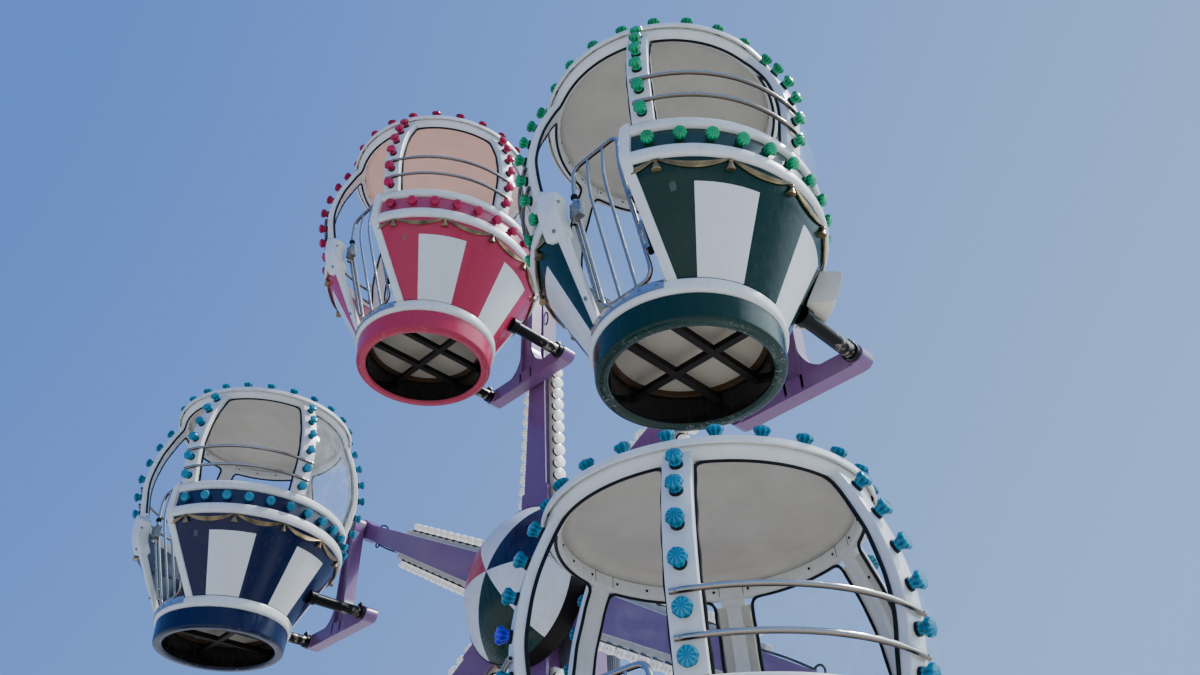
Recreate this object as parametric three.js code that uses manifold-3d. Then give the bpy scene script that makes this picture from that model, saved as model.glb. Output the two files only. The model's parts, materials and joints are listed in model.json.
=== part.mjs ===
// Small fairground ferris wheel with six round cabins, held from one side by a mast.
// Millimetres, Z up. The origin lies on the ground under the hub, in the middle plane of the mast.
// The wheel turns about the line through the hub along Y, and the cabins hang in front of it,
// towards -Y. An azimuth on a cabin is counted from +X towards +Y, and the gate faces -Y.

import * as THREE from 'three';
import { mergeVertices } from 'three/addons/utils/BufferGeometryUtils.js';
import Module from 'manifold-3d';

const wasm = await Module();
wasm.setup();

// Wheel
const HUB_HEIGHT = 3950;
const PIVOT_RADIUS = 2384;
const CABIN_COUNT = 6;
const FIRST_ANGLE = 30;
const ARM_FRONT = -320;
const ARM_THICKNESS = 130;
const ARM_BACK = ARM_FRONT + ARM_THICKNESS;
const CORE_APOTHEM = 200;
const ARM_ROOT_HALF = 90;
const ARM_WIDE_HALF = 105;
const ARM_WIDE_AT = 550;
const ARM_TIP_HALF = 57;
const ARM_TIP_AT = 2250;
const ARM_EYE_RADIUS = 78;
const RAIL_START = 500;
const RAIL_END = 1700;
const RAIL_WIDTH = 45;
const RAIL_DEPTH = 40;
const RAIL_SUNK = 12;
const FLANGE_RADIUS = 500;
const FLANGE_THICKNESS = 30;
const AXLE_RADIUS = 60;
const FLANGE_SIDES = 24;
const AXLE_SIDES = 16;
const EYE_SIDES = 12;
const DOME_SPHERE_RADIUS = 580;
const DOME_SINK = 216;
const DOME_ARC = 55;
const DOME_WALL = 8;

// Cabin, seen from its own middle line with its underside at height 0
const CABIN_AXIS_Y = ARM_FRONT - 940;
const PIVOT_HEIGHT = 1216;
const ROUND_SIDES = 18;
const FLOOR_UNDER = 180;
const FLOOR_TOP = 195;
const RIM_TOP = 202;
const TUB_TOP = 890;
const BENCH_FRONT = 300;
const BENCH_TOP = 520;
const BENCH_MOUTH = 270;
const BENCH_BACK_FOOT = 420;
const BENCH_BACK_TOP = 585;
const RIB_WIDTH = 100;
const RIB_THICKNESS = 22;
const REAR_RIB_THICKNESS = 34;
const PANE_THICKNESS = 5;
const PANE_TOP = 1605;
const BAR_RADIUS = 10;
const BAR_ARC_RADIUS = 760;
const BAR_END_RADIUS = 712;
const BAR_HEIGHTS = [985, 1115];
const LATCH_COVER = { azimuth: -119, radius: 695, depth: 76, width: 160, low: 621, high: 889 };

// Gate opening and gate
const SILL = 200;
const JAMB_RIGHT_FOOT = 215;
const JAMB_RIGHT_TOP = 255;
const JAMB_LEFT_FOOT = -150;
const JAMB_LEFT_TOP = -250;
const GATE_BARS = [167, 72, -23, -118];
const GATE_BOTTOM = 250;
const GATE_KINK = 790;
const GATE_TOP = 990;
const GATE_BOTTOM_Y = -403;
const GATE_TOP_Y = -574;
const GATE_FRAME_RADIUS = 11;
const GATE_BAR_RADIUS = 8;
const HINGE_X = 198;
const HINGE_PROUD = 14;
const HINGE_RADIUS = 11;
const BARRELS = [[350, 480], [600, 660]];
const HINGE_SIDES = 6;
const HINGE_LEAF_HALF = 12;
const LUG_LENGTH = 25;
const LUG_THICKNESS = 12;
const LUG_HALF = 8;
const LUG_REACH = 50;
const LUG_FLANGE = { offset: 14, front: 62 };
const LATCH_BOX = { left: 60, right: 18, front: -572, back: -532, low: 662, high: 752 };

// Hanger
const HANGER_DEPTH = 90;
const HANGER_CLEARANCE = 15;
const POST_HALF = 60;
const POST_HEAD_RADIUS = 75;
const GUSSET_REACH = 210;
const GUSSET_TOP = 620;
const CROSSBAR_HEIGHT = 373;
const CROSSBAR_HALF = 50;
const TUBE_X = 359;
const TUBE_RADIUS = 37.5;
const SOCKET_RADIUS = 52;
const SOCKET_PROUD = 12;
const TUBE_SIDES = 8;
const BOSS_RADIUS = 48;
const BOSS_FRONT = 330;
const BOSS_BACK = 440;
const SHAFT_RADIUS = 30;
const COLLAR_RADIUS = 55;
const COLLAR_THICKNESS = 20;

// Mast and base
const MAST_HALF_X = 160;
const MAST_HALF_Y = 140;
const MAST_ABOVE_HUB = 230;
const FOOT_HALF_X = 260;
const FOOT_HALF_Y = 200;
const FOOT_THICKNESS = 25;
const CASE_HALF = 150;
const CASE_DEPTH = 240;
const CASE_BELOW_HUB = 200;
const CASE_ABOVE_HUB = 180;
const MOTOR_RADIUS = 105;
const MOTOR_BELOW_HUB = 560;
const MOTOR_MIDDLE = 125;
const BASE_BEAM_HEIGHT = 140;
const SPINE_HEIGHT = 160;
const SPINE_HALF = 120;
const BEAM_HALF = 110;
const CROSS_FRONT_Y = -1750;
const CROSS_REAR_Y = 1400;
const CROSS_LENGTH = 2500;
const CROSS_MIDDLE_LENGTH = 2900;
const SPINE_OVERHANG = 150;
const BRACE_TOP = 2750;
const BRACE_DROP = 230;
const BRACE_FOOT_IN = 1200;
const BRACE_FOOT_OUT = 1340;
const BRACE_HALF = 50;

// Clearance between pieces that touch, and between a turning shaft and its bore
const GAP = 0.3;
const RUNNING_GAP = 0.3;
const FACE_RUNNING_GAP = 0.6;

const radians = THREE.MathUtils.degToRad;

const paint = (color, roughness, metalness) =>
  new THREE.MeshStandardMaterial({ color, roughness, metalness });

const MATERIALS = {
  purple: paint(0x6b4f8c, 0.35, 0.1),
  white: paint(0xe4e4dd, 0.3, 0.0),
  chrome: paint(0xc8ccd0, 0.15, 1.0),
  pane: paint(0xbfd4e2, 0.1, 0.0),
  grey: paint(0x55585c, 0.5, 0.4),
  green: paint(0x12352b, 0.3, 0.0),
  pink: paint(0xb5455f, 0.3, 0.0),
  navy: paint(0x16203f, 0.3, 0.0),
};
const CABIN_COLOURS = ['green', 'pink', 'navy'];

// A closed geometry becomes a solid that can be joined and cut.
function solid(geometry) {
  const bare = geometry.clone();
  bare.deleteAttribute('normal');
  bare.deleteAttribute('uv');
  const merged = mergeVertices(bare, 1e-3);
  return new wasm.Manifold(new wasm.Mesh({
    numProp: 3,
    vertProperties: new Float32Array(merged.attributes.position.array),
    triVerts: new Uint32Array(merged.index.array),
  }));
}

function joined(pieces) {
  return pieces.reduce((whole, piece) => whole.add(piece));
}

function geometryOf(body) {
  const mesh = body.getMesh();
  const geometry = new THREE.BufferGeometry();
  geometry.setAttribute('position', new THREE.BufferAttribute(mesh.vertProperties, 3));
  geometry.setIndex(new THREE.BufferAttribute(mesh.triVerts, 1));
  geometry.computeVertexNormals();
  return geometry;
}

function node(name, body, material) {
  const mesh = new THREE.Mesh(geometryOf(body), MATERIALS[material]);
  mesh.name = name;
  return mesh;
}

function block(x0, x1, y0, y1, z0, z1) {
  const geometry = new THREE.BoxGeometry(x1 - x0, y1 - y0, z1 - z0);
  geometry.translate((x0 + x1) / 2, (y0 + y1) / 2, (z0 + z1) / 2);
  return solid(geometry);
}

// An outline in X and Z carried along Y from y0 to y1.
function plate(outline, y0, y1) {
  const shape = new THREE.Shape(outline.map(([x, z]) => new THREE.Vector2(x, z)));
  const geometry = new THREE.ExtrudeGeometry(shape, { depth: y1 - y0, bevelEnabled: false });
  geometry.rotateX(Math.PI / 2);
  geometry.translate(0, y1, 0);
  return solid(geometry);
}

// A profile of radius and height turned about Z. It starts and ends on the axis, or closes.
function turned(profile) {
  const points = profile.map(([r, z]) => new THREE.Vector2(r, z));
  const geometry = new THREE.LatheGeometry(points, ROUND_SIDES, Math.PI / 2);
  geometry.rotateX(Math.PI / 2);
  return solid(geometry);
}

// A round rod between two points.
function rod(from, to, radius, sides) {
  const start = new THREE.Vector3(...from);
  const end = new THREE.Vector3(...to);
  const axis = end.clone().sub(start);
  const geometry = new THREE.CylinderGeometry(radius, radius, axis.length(), sides);
  const turn = new THREE.Quaternion().setFromUnitVectors(
    new THREE.Vector3(0, 1, 0), axis.normalize());
  geometry.applyQuaternion(turn);
  geometry.translate(...start.add(end).multiplyScalar(0.5).toArray());
  return solid(geometry);
}

// The bore whose flats clear a shaft of the given radius all the way round. At rest the shaft's
// corners face the flats.
function bore(x, z, shaft, y0, y1, sides) {
  const radius = (shaft + RUNNING_GAP) / Math.cos(Math.PI / sides);
  return rod([0, y0, 0], [0, y1, 0], radius, sides)
    .rotate([0, 180 / sides, 0])
    .translate([x, 0, z]);
}

// A round tube bent along a smooth curve through the given points.
function bentTube(points, radius, sides, steps) {
  const section = new THREE.Shape();
  for (let i = 0; i < sides; i += 1) {
    const angle = (2 * Math.PI * i) / sides;
    const x = radius * Math.cos(angle);
    const y = radius * Math.sin(angle);
    if (i === 0) {
      section.moveTo(x, y);
    } else {
      section.lineTo(x, y);
    }
  }
  const path = new THREE.CatmullRomCurve3(points.map((point) => new THREE.Vector3(...point)));
  return solid(new THREE.ExtrudeGeometry(section, { steps, extrudePath: path }));
}

function polar(radius, azimuth, z) {
  return [radius * Math.cos(radians(azimuth)), radius * Math.sin(radians(azimuth)), z];
}

// Cabin tub: skirt with an open underside, rim, flared wall and the two rings of the lamp band
const TUB_OUTSIDE = [
  [0, FLOOR_UNDER], [352, FLOOR_UNDER], [352, 0], [410, 0], [420, 131], [439, 131],
  [439, RIM_TOP], [630, 560], [684, 657], [700, 657], [700, 727], [684, 727],
  [684, 830], [706, 830], [706, TUB_TOP], [0, TUB_TOP],
];
const TUB_INSIDE = [[0, FLOOR_TOP], [410, FLOOR_TOP], [640, 655], [656, 900], [0, 900]];

// The opening runs through the wall and 10 past the tub's top.
function gateOpening() {
  const outline = [
    [JAMB_LEFT_FOOT, SILL], [JAMB_RIGHT_FOOT, SILL],
    [JAMB_RIGHT_TOP, TUB_TOP + 10], [JAMB_LEFT_TOP, TUB_TOP + 10],
  ];
  return plate(outline, -760, -250);
}

// A horseshoe bench round the wall, open towards the gate and sunk a little into the floor.
function bench() {
  const foot = FLOOR_TOP - 5;
  const section = [
    [BENCH_FRONT, foot], [BENCH_BACK_FOOT, foot], [BENCH_BACK_TOP, BENCH_TOP],
    [BENCH_FRONT, BENCH_TOP], [BENCH_FRONT, foot],
  ];
  const mouth = block(-BENCH_MOUTH, BENCH_MOUTH, -700, 0, foot - 1, BENCH_TOP + 1);
  return turned(section).subtract(mouth);
}

// A moulded cover outside the left jamb, where the latch closes.
function latchCover() {
  const { azimuth, radius, depth, width, low, high } = LATCH_COVER;
  const geometry = new THREE.BoxGeometry(depth, width, high - low);
  geometry.rotateZ(radians(azimuth));
  geometry.translate(...polar(radius, azimuth, (low + high) / 2));
  return solid(geometry);
}

function hingeAt(z) {
  const slope = (GATE_TOP_Y - GATE_BOTTOM_Y) / (GATE_KINK - GATE_BOTTOM);
  return [HINGE_X, GATE_BOTTOM_Y + slope * (z - GATE_BOTTOM) - HINGE_PROUD, z];
}

// Fixed halves of the hinges: a short pin sleeve under each barrel, carried by the right jamb.
function hingeLugs() {
  const slant = Math.atan2(GATE_TOP_Y - GATE_BOTTOM_Y, GATE_KINK - GATE_BOTTOM);
  const pieces = [];
  for (const [barrelLow] of BARRELS) {
    const foot = hingeAt(barrelLow - LUG_LENGTH);
    const [x, y, z] = foot;
    const [low, high] = [z - 1, z - 1 + LUG_THICKNESS];
    const back = y + LUG_HALF;
    pieces.push(rod(foot, hingeAt(barrelLow - GAP / Math.cos(slant)), HINGE_RADIUS, HINGE_SIDES));
    pieces.push(block(x - LUG_HALF, x + LUG_REACH, y - LUG_HALF, back, low, high));
    pieces.push(block(x + LUG_FLANGE.offset, x + LUG_REACH, y - LUG_FLANGE.front, back, low, high));
  }
  return joined(pieces);
}

function tub() {
  const bosses = [-TUBE_X, TUBE_X].map((x) =>
    rod([x, BOSS_FRONT, CROSSBAR_HEIGHT], [x, BOSS_BACK, CROSSBAR_HEIGHT], BOSS_RADIUS, TUBE_SIDES));
  const shell = joined([turned(TUB_OUTSIDE), latchCover(), ...bosses])
    .subtract(turned(TUB_INSIDE))
    .subtract(gateOpening());
  return joined([shell, bench(), hingeLugs()]);
}

// Outer line of the six ribs, from the lamp band up to the roof ring
const RIB_OUTSIDE = [
  [706, TUB_TOP + GAP], [742, 1100], [742, 1230], [712, 1400], [655, 1560], [605, 1665],
];

// Roof: a shallow dome whose rim turns down into a ring on the tops of the ribs
const ROOF = [
  [0, 1755], [560, 1690], [560, 1640], [585, 1627], [627, 1665], [618, 1691], [420, 1755], [0, 1800],
];

// A rib of bent flat strip, its top cut to the underside of the roof ring.
function rib(azimuth, thickness) {
  const inside = RIB_OUTSIDE.map(([r, z]) => [r - thickness, z]).reverse();
  const strip = plate([...RIB_OUTSIDE, ...inside], -RIB_WIDTH / 2, RIB_WIDTH / 2);
  return strip.rotate([0, 0, azimuth]).subtract(turned(ROOF).translate([0, 0, -1.5 * GAP]));
}

// A grab bar outside an open bay, bent in at both ends to the ribs.
function grabBar(from, to, z) {
  const points = [
    polar(BAR_END_RADIUS, from + 2, z), polar(BAR_ARC_RADIUS, from + 6, z),
    polar(BAR_ARC_RADIUS + 8, (from + to) / 2, z),
    polar(BAR_ARC_RADIUS, to - 6, z), polar(BAR_END_RADIUS, to - 2, z),
  ];
  return bentTube(points, BAR_RADIUS, 5, 5);
}

// The two ribs of an open side bay with the grab bars between them.
function sideFrame(from, to) {
  const bars = BAR_HEIGHTS.map((z) => grabBar(from, to, z));
  return joined([rib(from, RIB_THICKNESS), rib(to, RIB_THICKNESS), ...bars]);
}

// The clear sheet of the three rear bays and the two ribs that it is held by.
function rearWindows() {
  const [low, high] = [RIB_OUTSIDE[4], RIB_OUTSIDE[5]];
  const share = (PANE_TOP - low[1]) / (high[1] - low[1]);
  const stations = [...RIB_OUTSIDE.slice(0, 5), [low[0] + share * (high[0] - low[0]), PANE_TOP]];
  const outer = stations.map(([r, z]) => [r - RIB_THICKNESS - GAP, z]);
  const inner = outer.map(([r, z]) => [r - PANE_THICKNESS, z]).reverse();
  const sheet = turned([...outer, ...inner, outer[0]]);
  const rearHalf = sheet.intersect(block(-800, 800, 0, 800, 800, 1700));
  return joined([rearHalf, rib(60, REAR_RIB_THICKNESS), rib(120, REAR_RIB_THICKNESS)]);
}

// A bar of the gate: upright above the kink, then sloping in with the wall.
function gateBar(x, radius) {
  const outline = [
    [GATE_BOTTOM_Y - radius, GATE_BOTTOM], [GATE_BOTTOM_Y + radius, GATE_BOTTOM],
    [GATE_TOP_Y + radius, GATE_KINK], [GATE_TOP_Y + radius, GATE_TOP],
    [GATE_TOP_Y - radius, GATE_TOP], [GATE_TOP_Y - radius, GATE_KINK],
  ];
  return plate(outline, -x - radius, -x + radius).rotate([0, 0, 90]);
}

// The gate: four bent bars between two rails, two hinge barrels and the latch box.
function gate() {
  const last = GATE_BARS.length - 1;
  const pieces = GATE_BARS.map((x, i) =>
    gateBar(x, i === 0 || i === last ? GATE_FRAME_RADIUS : GATE_BAR_RADIUS));
  const right = GATE_BARS[0];
  const left = GATE_BARS[last];
  for (const [y, z] of [[GATE_BOTTOM_Y, GATE_BOTTOM], [GATE_TOP_Y, GATE_TOP]]) {
    const half = GATE_FRAME_RADIUS;
    pieces.push(block(left - half, right + half, y - half, y + half, z - half, z + half));
  }
  for (const [low, high] of BARRELS) {
    const [x, y, z] = hingeAt((low + high) / 2);
    pieces.push(rod(hingeAt(low), hingeAt(high), HINGE_RADIUS, HINGE_SIDES));
    pieces.push(block(right, x, y, y + HINGE_PROUD, z - HINGE_LEAF_HALF, z + HINGE_LEAF_HALF));
  }
  const latch = LATCH_BOX;
  pieces.push(block(left - latch.left, left + latch.right, latch.front, latch.back, latch.low, latch.high));
  return joined(pieces);
}

// The hanger: a post with its crossbar as one plate, sockets, the two tubes and the pivot shaft.
function hanger() {
  const back = ARM_FRONT - CABIN_AXIS_Y - HANGER_CLEARANCE;
  const front = back - HANGER_DEPTH;
  const low = CROSSBAR_HEIGHT - CROSSBAR_HALF;
  const high = CROSSBAR_HEIGHT + CROSSBAR_HALF;
  const outline = [
    [-TUBE_X, low], [TUBE_X, low], [TUBE_X, high], [GUSSET_REACH, high], [POST_HALF, GUSSET_TOP],
  ];
  for (let i = 0; i <= 4; i += 1) {
    const angle = (Math.PI * i) / 4;
    outline.push([
      POST_HEAD_RADIUS * Math.cos(angle), PIVOT_HEIGHT + POST_HEAD_RADIUS * Math.sin(angle),
    ]);
  }
  outline.push([-POST_HALF, GUSSET_TOP], [-GUSSET_REACH, high], [-TUBE_X, high]);
  const pieces = [plate(outline, front, back)];
  for (const x of [-TUBE_X, TUBE_X]) {
    const z = CROSSBAR_HEIGHT;
    pieces.push(rod([x, front - SOCKET_PROUD, z], [x, back, z], SOCKET_RADIUS, TUBE_SIDES));
    pieces.push(rod([x, BOSS_BACK + GAP, z], [x, front, z], TUBE_RADIUS, TUBE_SIDES));
  }
  const z = PIVOT_HEIGHT;
  const collar = ARM_BACK - CABIN_AXIS_Y + FACE_RUNNING_GAP;
  pieces.push(rod([0, back - 20, z], [0, collar + 5, z], SHAFT_RADIUS, EYE_SIDES));
  pieces.push(rod([0, collar, z], [0, collar + COLLAR_THICKNESS, z], COLLAR_RADIUS, TUBE_SIDES));
  return joined(pieces);
}

const CABIN_PIECES = {
  hanger: hanger(),
  tub: tub(),
  right_frame: sideFrame(-60, 0),
  left_frame: sideFrame(180, 240),
  rear_windows: rearWindows(),
  roof: turned(ROOF),
  gate: gate(),
};

function cabin(number, angle) {
  const group = new THREE.Group();
  const colour = CABIN_COLOURS[(number - 1) % CABIN_COLOURS.length];
  const finish = {
    hanger: 'purple', tub: colour, right_frame: 'white', left_frame: 'white',
    rear_windows: 'pane', roof: 'white', gate: 'chrome',
  };
  for (const [piece, body] of Object.entries(CABIN_PIECES)) {
    group.add(node(`cabin_${number}_${piece}`, body, finish[piece]));
  }
  const x = PIVOT_RADIUS * Math.cos(radians(angle));
  const z = HUB_HEIGHT + PIVOT_RADIUS * Math.sin(radians(angle)) - PIVOT_HEIGHT;
  group.position.set(x, CABIN_AXIS_Y, z);
  return group;
}

function armHalfWidth(x) {
  const share = (x - ARM_WIDE_AT) / (ARM_TIP_AT - ARM_WIDE_AT);
  return ARM_WIDE_HALF + share * (ARM_TIP_HALF - ARM_WIDE_HALF);
}

// One arm along +X from the hub, a tapered box with a lamp rail on each side and a bored eye.
function arm() {
  const root = CORE_APOTHEM + GAP;
  const upper = [[ARM_WIDE_AT, ARM_WIDE_HALF], [root, ARM_ROOT_HALF]];
  const lower = upper.map(([x, z]) => [x, -z]).reverse();
  const outline = [...lower, [ARM_TIP_AT, -ARM_TIP_HALF]];
  for (let i = 0; i <= 6; i += 1) {
    const angle = radians(-120 + 40 * i);
    outline.push([PIVOT_RADIUS + ARM_EYE_RADIUS * Math.cos(angle), ARM_EYE_RADIUS * Math.sin(angle)]);
  }
  outline.push([ARM_TIP_AT, ARM_TIP_HALF], ...upper);
  const pieces = [plate(outline, ARM_FRONT, ARM_BACK)];
  const middle = (ARM_FRONT + ARM_BACK) / 2;
  for (const side of [1, -1]) {
    const near = [RAIL_START, armHalfWidth(RAIL_START)];
    const far = [RAIL_END, armHalfWidth(RAIL_END)];
    const rail = [
      [near[0], side * (near[1] - RAIL_SUNK)], [far[0], side * (far[1] - RAIL_SUNK)],
      [far[0], side * (far[1] + RAIL_WIDTH)], [near[0], side * (near[1] + RAIL_WIDTH)],
    ];
    pieces.push(plate(rail, middle - RAIL_DEPTH / 2, middle + RAIL_DEPTH / 2));
  }
  return joined(pieces).subtract(
    bore(PIVOT_RADIUS, 0, SHAFT_RADIUS, ARM_FRONT - 10, ARM_BACK + 10, EYE_SIDES));
}

// The six-sided hub core between the arms, the flange behind them and the axle.
function hubCore() {
  const corner = CORE_APOTHEM / Math.cos(Math.PI / 6);
  const core = new THREE.CylinderGeometry(corner, corner, ARM_THICKNESS + GAP, 6);
  core.rotateY(Math.PI / 6);
  core.translate(0, (ARM_FRONT + ARM_BACK + GAP) / 2, 0);
  const front = ARM_BACK + GAP;
  const flange = rod([0, front, 0], [0, front + FLANGE_THICKNESS, 0], FLANGE_RADIUS, FLANGE_SIDES);
  const axle = rod([0, front, 0], [0, MAST_HALF_Y - 5, 0], AXLE_RADIUS, AXLE_SIDES);
  return joined([solid(core), flange, axle]);
}

// A ball-shaped cap over the hub, with a short straight skirt down to the arms' front faces.
function hubDome() {
  const arc = (radius, steps) => {
    const points = [];
    for (let i = 0; i <= steps; i += 1) {
      const angle = radians((DOME_ARC * i) / steps);
      points.push([radius * Math.sin(angle), radius * Math.cos(angle) - DOME_SINK]);
    }
    return points;
  };
  const inner = arc(DOME_SPHERE_RADIUS - DOME_WALL, 4);
  const outer = arc(DOME_SPHERE_RADIUS, 6).reverse();
  const skirt = outer[0][0];
  const profile = [...inner, [skirt - DOME_WALL, GAP], [skirt, GAP], ...outer];
  return turned(profile).rotate([90, 0, 0]).translate([0, ARM_FRONT, 0]);
}

function wheel() {
  const group = new THREE.Group();
  const spoke = arm();
  for (let i = 0; i < CABIN_COUNT; i += 1) {
    const mesh = node(`arm_${i + 1}`, spoke, 'purple');
    mesh.rotation.y = -radians(FIRST_ANGLE + (360 * i) / CABIN_COUNT);
    group.add(mesh);
  }
  group.add(node('hub_core', hubCore(), 'grey'));
  group.add(node('hub_dome', hubDome(), 'white'));
  group.position.z = HUB_HEIGHT;
  return group;
}

const SPINE_LOW = BASE_BEAM_HEIGHT + GAP;
const SPINE_TOP = SPINE_LOW + SPINE_HEIGHT;

function mast() {
  const column = block(
    -MAST_HALF_X, MAST_HALF_X, -MAST_HALF_Y, MAST_HALF_Y, SPINE_TOP + GAP, HUB_HEIGHT + MAST_ABOVE_HUB);
  const ground = SPINE_TOP + GAP;
  const foot = block(
    -FOOT_HALF_X, FOOT_HALF_X, -FOOT_HALF_Y, FOOT_HALF_Y, ground, ground + FOOT_THICKNESS);
  const hole = bore(0, HUB_HEIGHT, AXLE_RADIUS, -MAST_HALF_Y - 10, MAST_HALF_Y + 10, AXLE_SIDES);
  return joined([column, foot]).subtract(hole);
}

// A side brace from the mast down to the middle beam, on the +X side.
function sideBrace() {
  const face = MAST_HALF_X + GAP;
  const ground = BASE_BEAM_HEIGHT + GAP;
  const outline = [
    [BRACE_FOOT_IN, ground], [BRACE_FOOT_OUT, ground], [face, BRACE_TOP], [face, BRACE_TOP - BRACE_DROP],
  ];
  return plate(outline, -BRACE_HALF, BRACE_HALF);
}

function rearBrace() {
  const face = MAST_HALF_Y + GAP;
  const ground = SPINE_TOP + GAP;
  const outline = [
    [BRACE_FOOT_IN, ground], [BRACE_FOOT_OUT, ground], [face, BRACE_TOP], [face, BRACE_TOP - BRACE_DROP],
  ];
  return plate(outline, -BRACE_HALF, BRACE_HALF).rotate([0, 0, 90]);
}

// Gear case on the back of the mast with its upright motor.
function drive() {
  const back = MAST_HALF_Y + GAP;
  const under = HUB_HEIGHT - CASE_BELOW_HUB;
  const gearCase = block(
    -CASE_HALF, CASE_HALF, back, back + CASE_DEPTH, under, HUB_HEIGHT + CASE_ABOVE_HUB);
  const y = back + MOTOR_MIDDLE;
  const motor = rod([0, y, HUB_HEIGHT - MOTOR_BELOW_HUB], [0, y, under + 10], MOTOR_RADIUS, 12);
  return joined([gearCase, motor]);
}

function crossBeam(y, length, half) {
  return block(-length / 2, length / 2, y - half, y + half, 0, BASE_BEAM_HEIGHT);
}

function base() {
  const group = new THREE.Group();
  const spine = block(
    -SPINE_HALF, SPINE_HALF, CROSS_FRONT_Y - SPINE_OVERHANG, CROSS_REAR_Y + SPINE_OVERHANG,
    SPINE_LOW, SPINE_TOP);
  const brace = sideBrace();
  group.add(
    node('base_beam_front', crossBeam(CROSS_FRONT_Y, CROSS_LENGTH, BEAM_HALF), 'purple'),
    node('base_beam_middle', crossBeam(0, CROSS_MIDDLE_LENGTH, MAST_HALF_Y), 'purple'),
    node('base_beam_rear', crossBeam(CROSS_REAR_Y, CROSS_LENGTH, BEAM_HALF), 'purple'),
    node('base_spine', spine, 'purple'),
    node('mast', mast(), 'purple'),
    node('brace_right', brace, 'purple'),
    node('brace_left', brace.rotate([0, 0, 180]), 'purple'),
    node('brace_rear', rearBrace(), 'purple'),
    node('drive', drive(), 'grey'),
  );
  return group;
}

const ferrisWheel = new THREE.Group();
ferrisWheel.add(base(), wheel());
for (let i = 0; i < CABIN_COUNT; i += 1) {
  ferrisWheel.add(cabin(i + 1, FIRST_ANGLE + (360 * i) / CABIN_COUNT));
}

export default ferrisWheel;
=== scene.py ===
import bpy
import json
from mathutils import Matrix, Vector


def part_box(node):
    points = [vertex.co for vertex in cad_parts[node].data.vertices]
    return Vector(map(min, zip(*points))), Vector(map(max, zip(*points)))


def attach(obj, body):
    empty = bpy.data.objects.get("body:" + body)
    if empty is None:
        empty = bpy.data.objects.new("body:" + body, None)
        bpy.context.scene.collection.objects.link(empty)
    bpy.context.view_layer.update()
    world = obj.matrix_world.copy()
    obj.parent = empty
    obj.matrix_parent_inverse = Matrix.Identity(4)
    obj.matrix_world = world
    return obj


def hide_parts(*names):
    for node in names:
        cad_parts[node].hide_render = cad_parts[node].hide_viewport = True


bl_info = {
    "name": "Ferris Wheel Dressing",
    "version": (1, 0, 0),
    "blender": (4, 5, 0),
    "location": "View3D > Sidebar > Ferris Wheel",
    "description": "Dresses the solids of a small ferris wheel with its surfaces, finishes and lamps",
    "category": "Object",
}

import json
import math
from collections import namedtuple

import bmesh
import bpy
import numpy as np
from bpy.props import FloatProperty, FloatVectorProperty, IntProperty, PointerProperty
from bpy.types import Operator, Panel, PropertyGroup
from mathutils import Matrix

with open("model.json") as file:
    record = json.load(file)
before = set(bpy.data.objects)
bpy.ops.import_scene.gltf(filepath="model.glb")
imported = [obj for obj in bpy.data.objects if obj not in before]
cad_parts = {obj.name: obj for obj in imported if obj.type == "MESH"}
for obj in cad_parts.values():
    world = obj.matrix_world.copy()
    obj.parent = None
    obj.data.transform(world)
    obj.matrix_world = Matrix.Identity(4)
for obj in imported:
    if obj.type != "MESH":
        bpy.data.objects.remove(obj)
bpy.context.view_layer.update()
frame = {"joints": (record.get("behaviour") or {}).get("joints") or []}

# All sizes are in metres and all azimuths in degrees. A cabin is worked out round its own middle
# line with its underside at height 0. Azimuth 0 is +X, 90 is +Y, and the gate faces -90.
CABIN_NUMBERS = range(1, 7)
COLOUR_NAMES = ("green", "pink", "navy")


def joint_place(name):
    """Where a joint of the frame stands at rest."""
    return np.array(next(j for j in frame["joints"] if j["name"] == name)["pos_m"], float)


def cabin_place(number):
    """The foot of a cabin's middle line: the middle of its roof, and the underside of its tub."""
    low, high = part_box(f"cabin_{number}_roof")
    return np.array([(low.x + high.x) / 2, (low.y + high.y) / 2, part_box(f"cabin_{number}_tub")[0].z])


HUB = joint_place("wheel_spin")
PIVOTS = {k: joint_place(f"cabin_{k}_level") for k in CABIN_NUMBERS}
CABIN_PLACES = {k: cabin_place(k) for k in CABIN_NUMBERS}
PIVOT_RADIUS = float(np.hypot(PIVOTS[1][0] - HUB[0], PIVOTS[1][2] - HUB[2]))
PIVOT_HEIGHT = float(PIVOTS[1][2] - CABIN_PLACES[1][2])
ARM_FRONT = float(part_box("arm_1")[0].y)
ARM_BACK = float(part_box("arm_1")[1].y)
HANGER_BACK = float(-CABIN_PLACES[1][1] + ARM_FRONT) - 0.015
AXIS_FOOT = (HUB[0], 0.0, HUB[2])

# Gate opening: the height and the x of each edge at its foot and at its top
RIGHT_EDGE = ((0.20, 0.215), (0.89, 0.255))
LEFT_EDGE = ((0.20, -0.144), (0.89, -0.138))

# Heights and radii of the tub
WALL_HEIGHTS = (0.203, 0.56, 0.60, 0.64, 0.665)
WALL_RADII = (0.436, 0.630, 0.653, 0.672, 0.682)
LINER_HEIGHTS = (0.195, 0.655, 0.895)
LINER_RADII = (0.410, 0.640, 0.656)
POST_HEIGHTS = (0.196, 0.56, 0.655, 0.70, 0.89)
POST_RADII = (0.448, 0.643, 0.697, 0.712, 0.714)
FLOOR_TOP = 0.195
PANEL_HEIGHT = 0.18
SKIRT_INSIDE = 0.352
RING_TOP = 0.89
STRIPE_TOP = 0.56
BAND_RADIUS = 0.684

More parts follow.
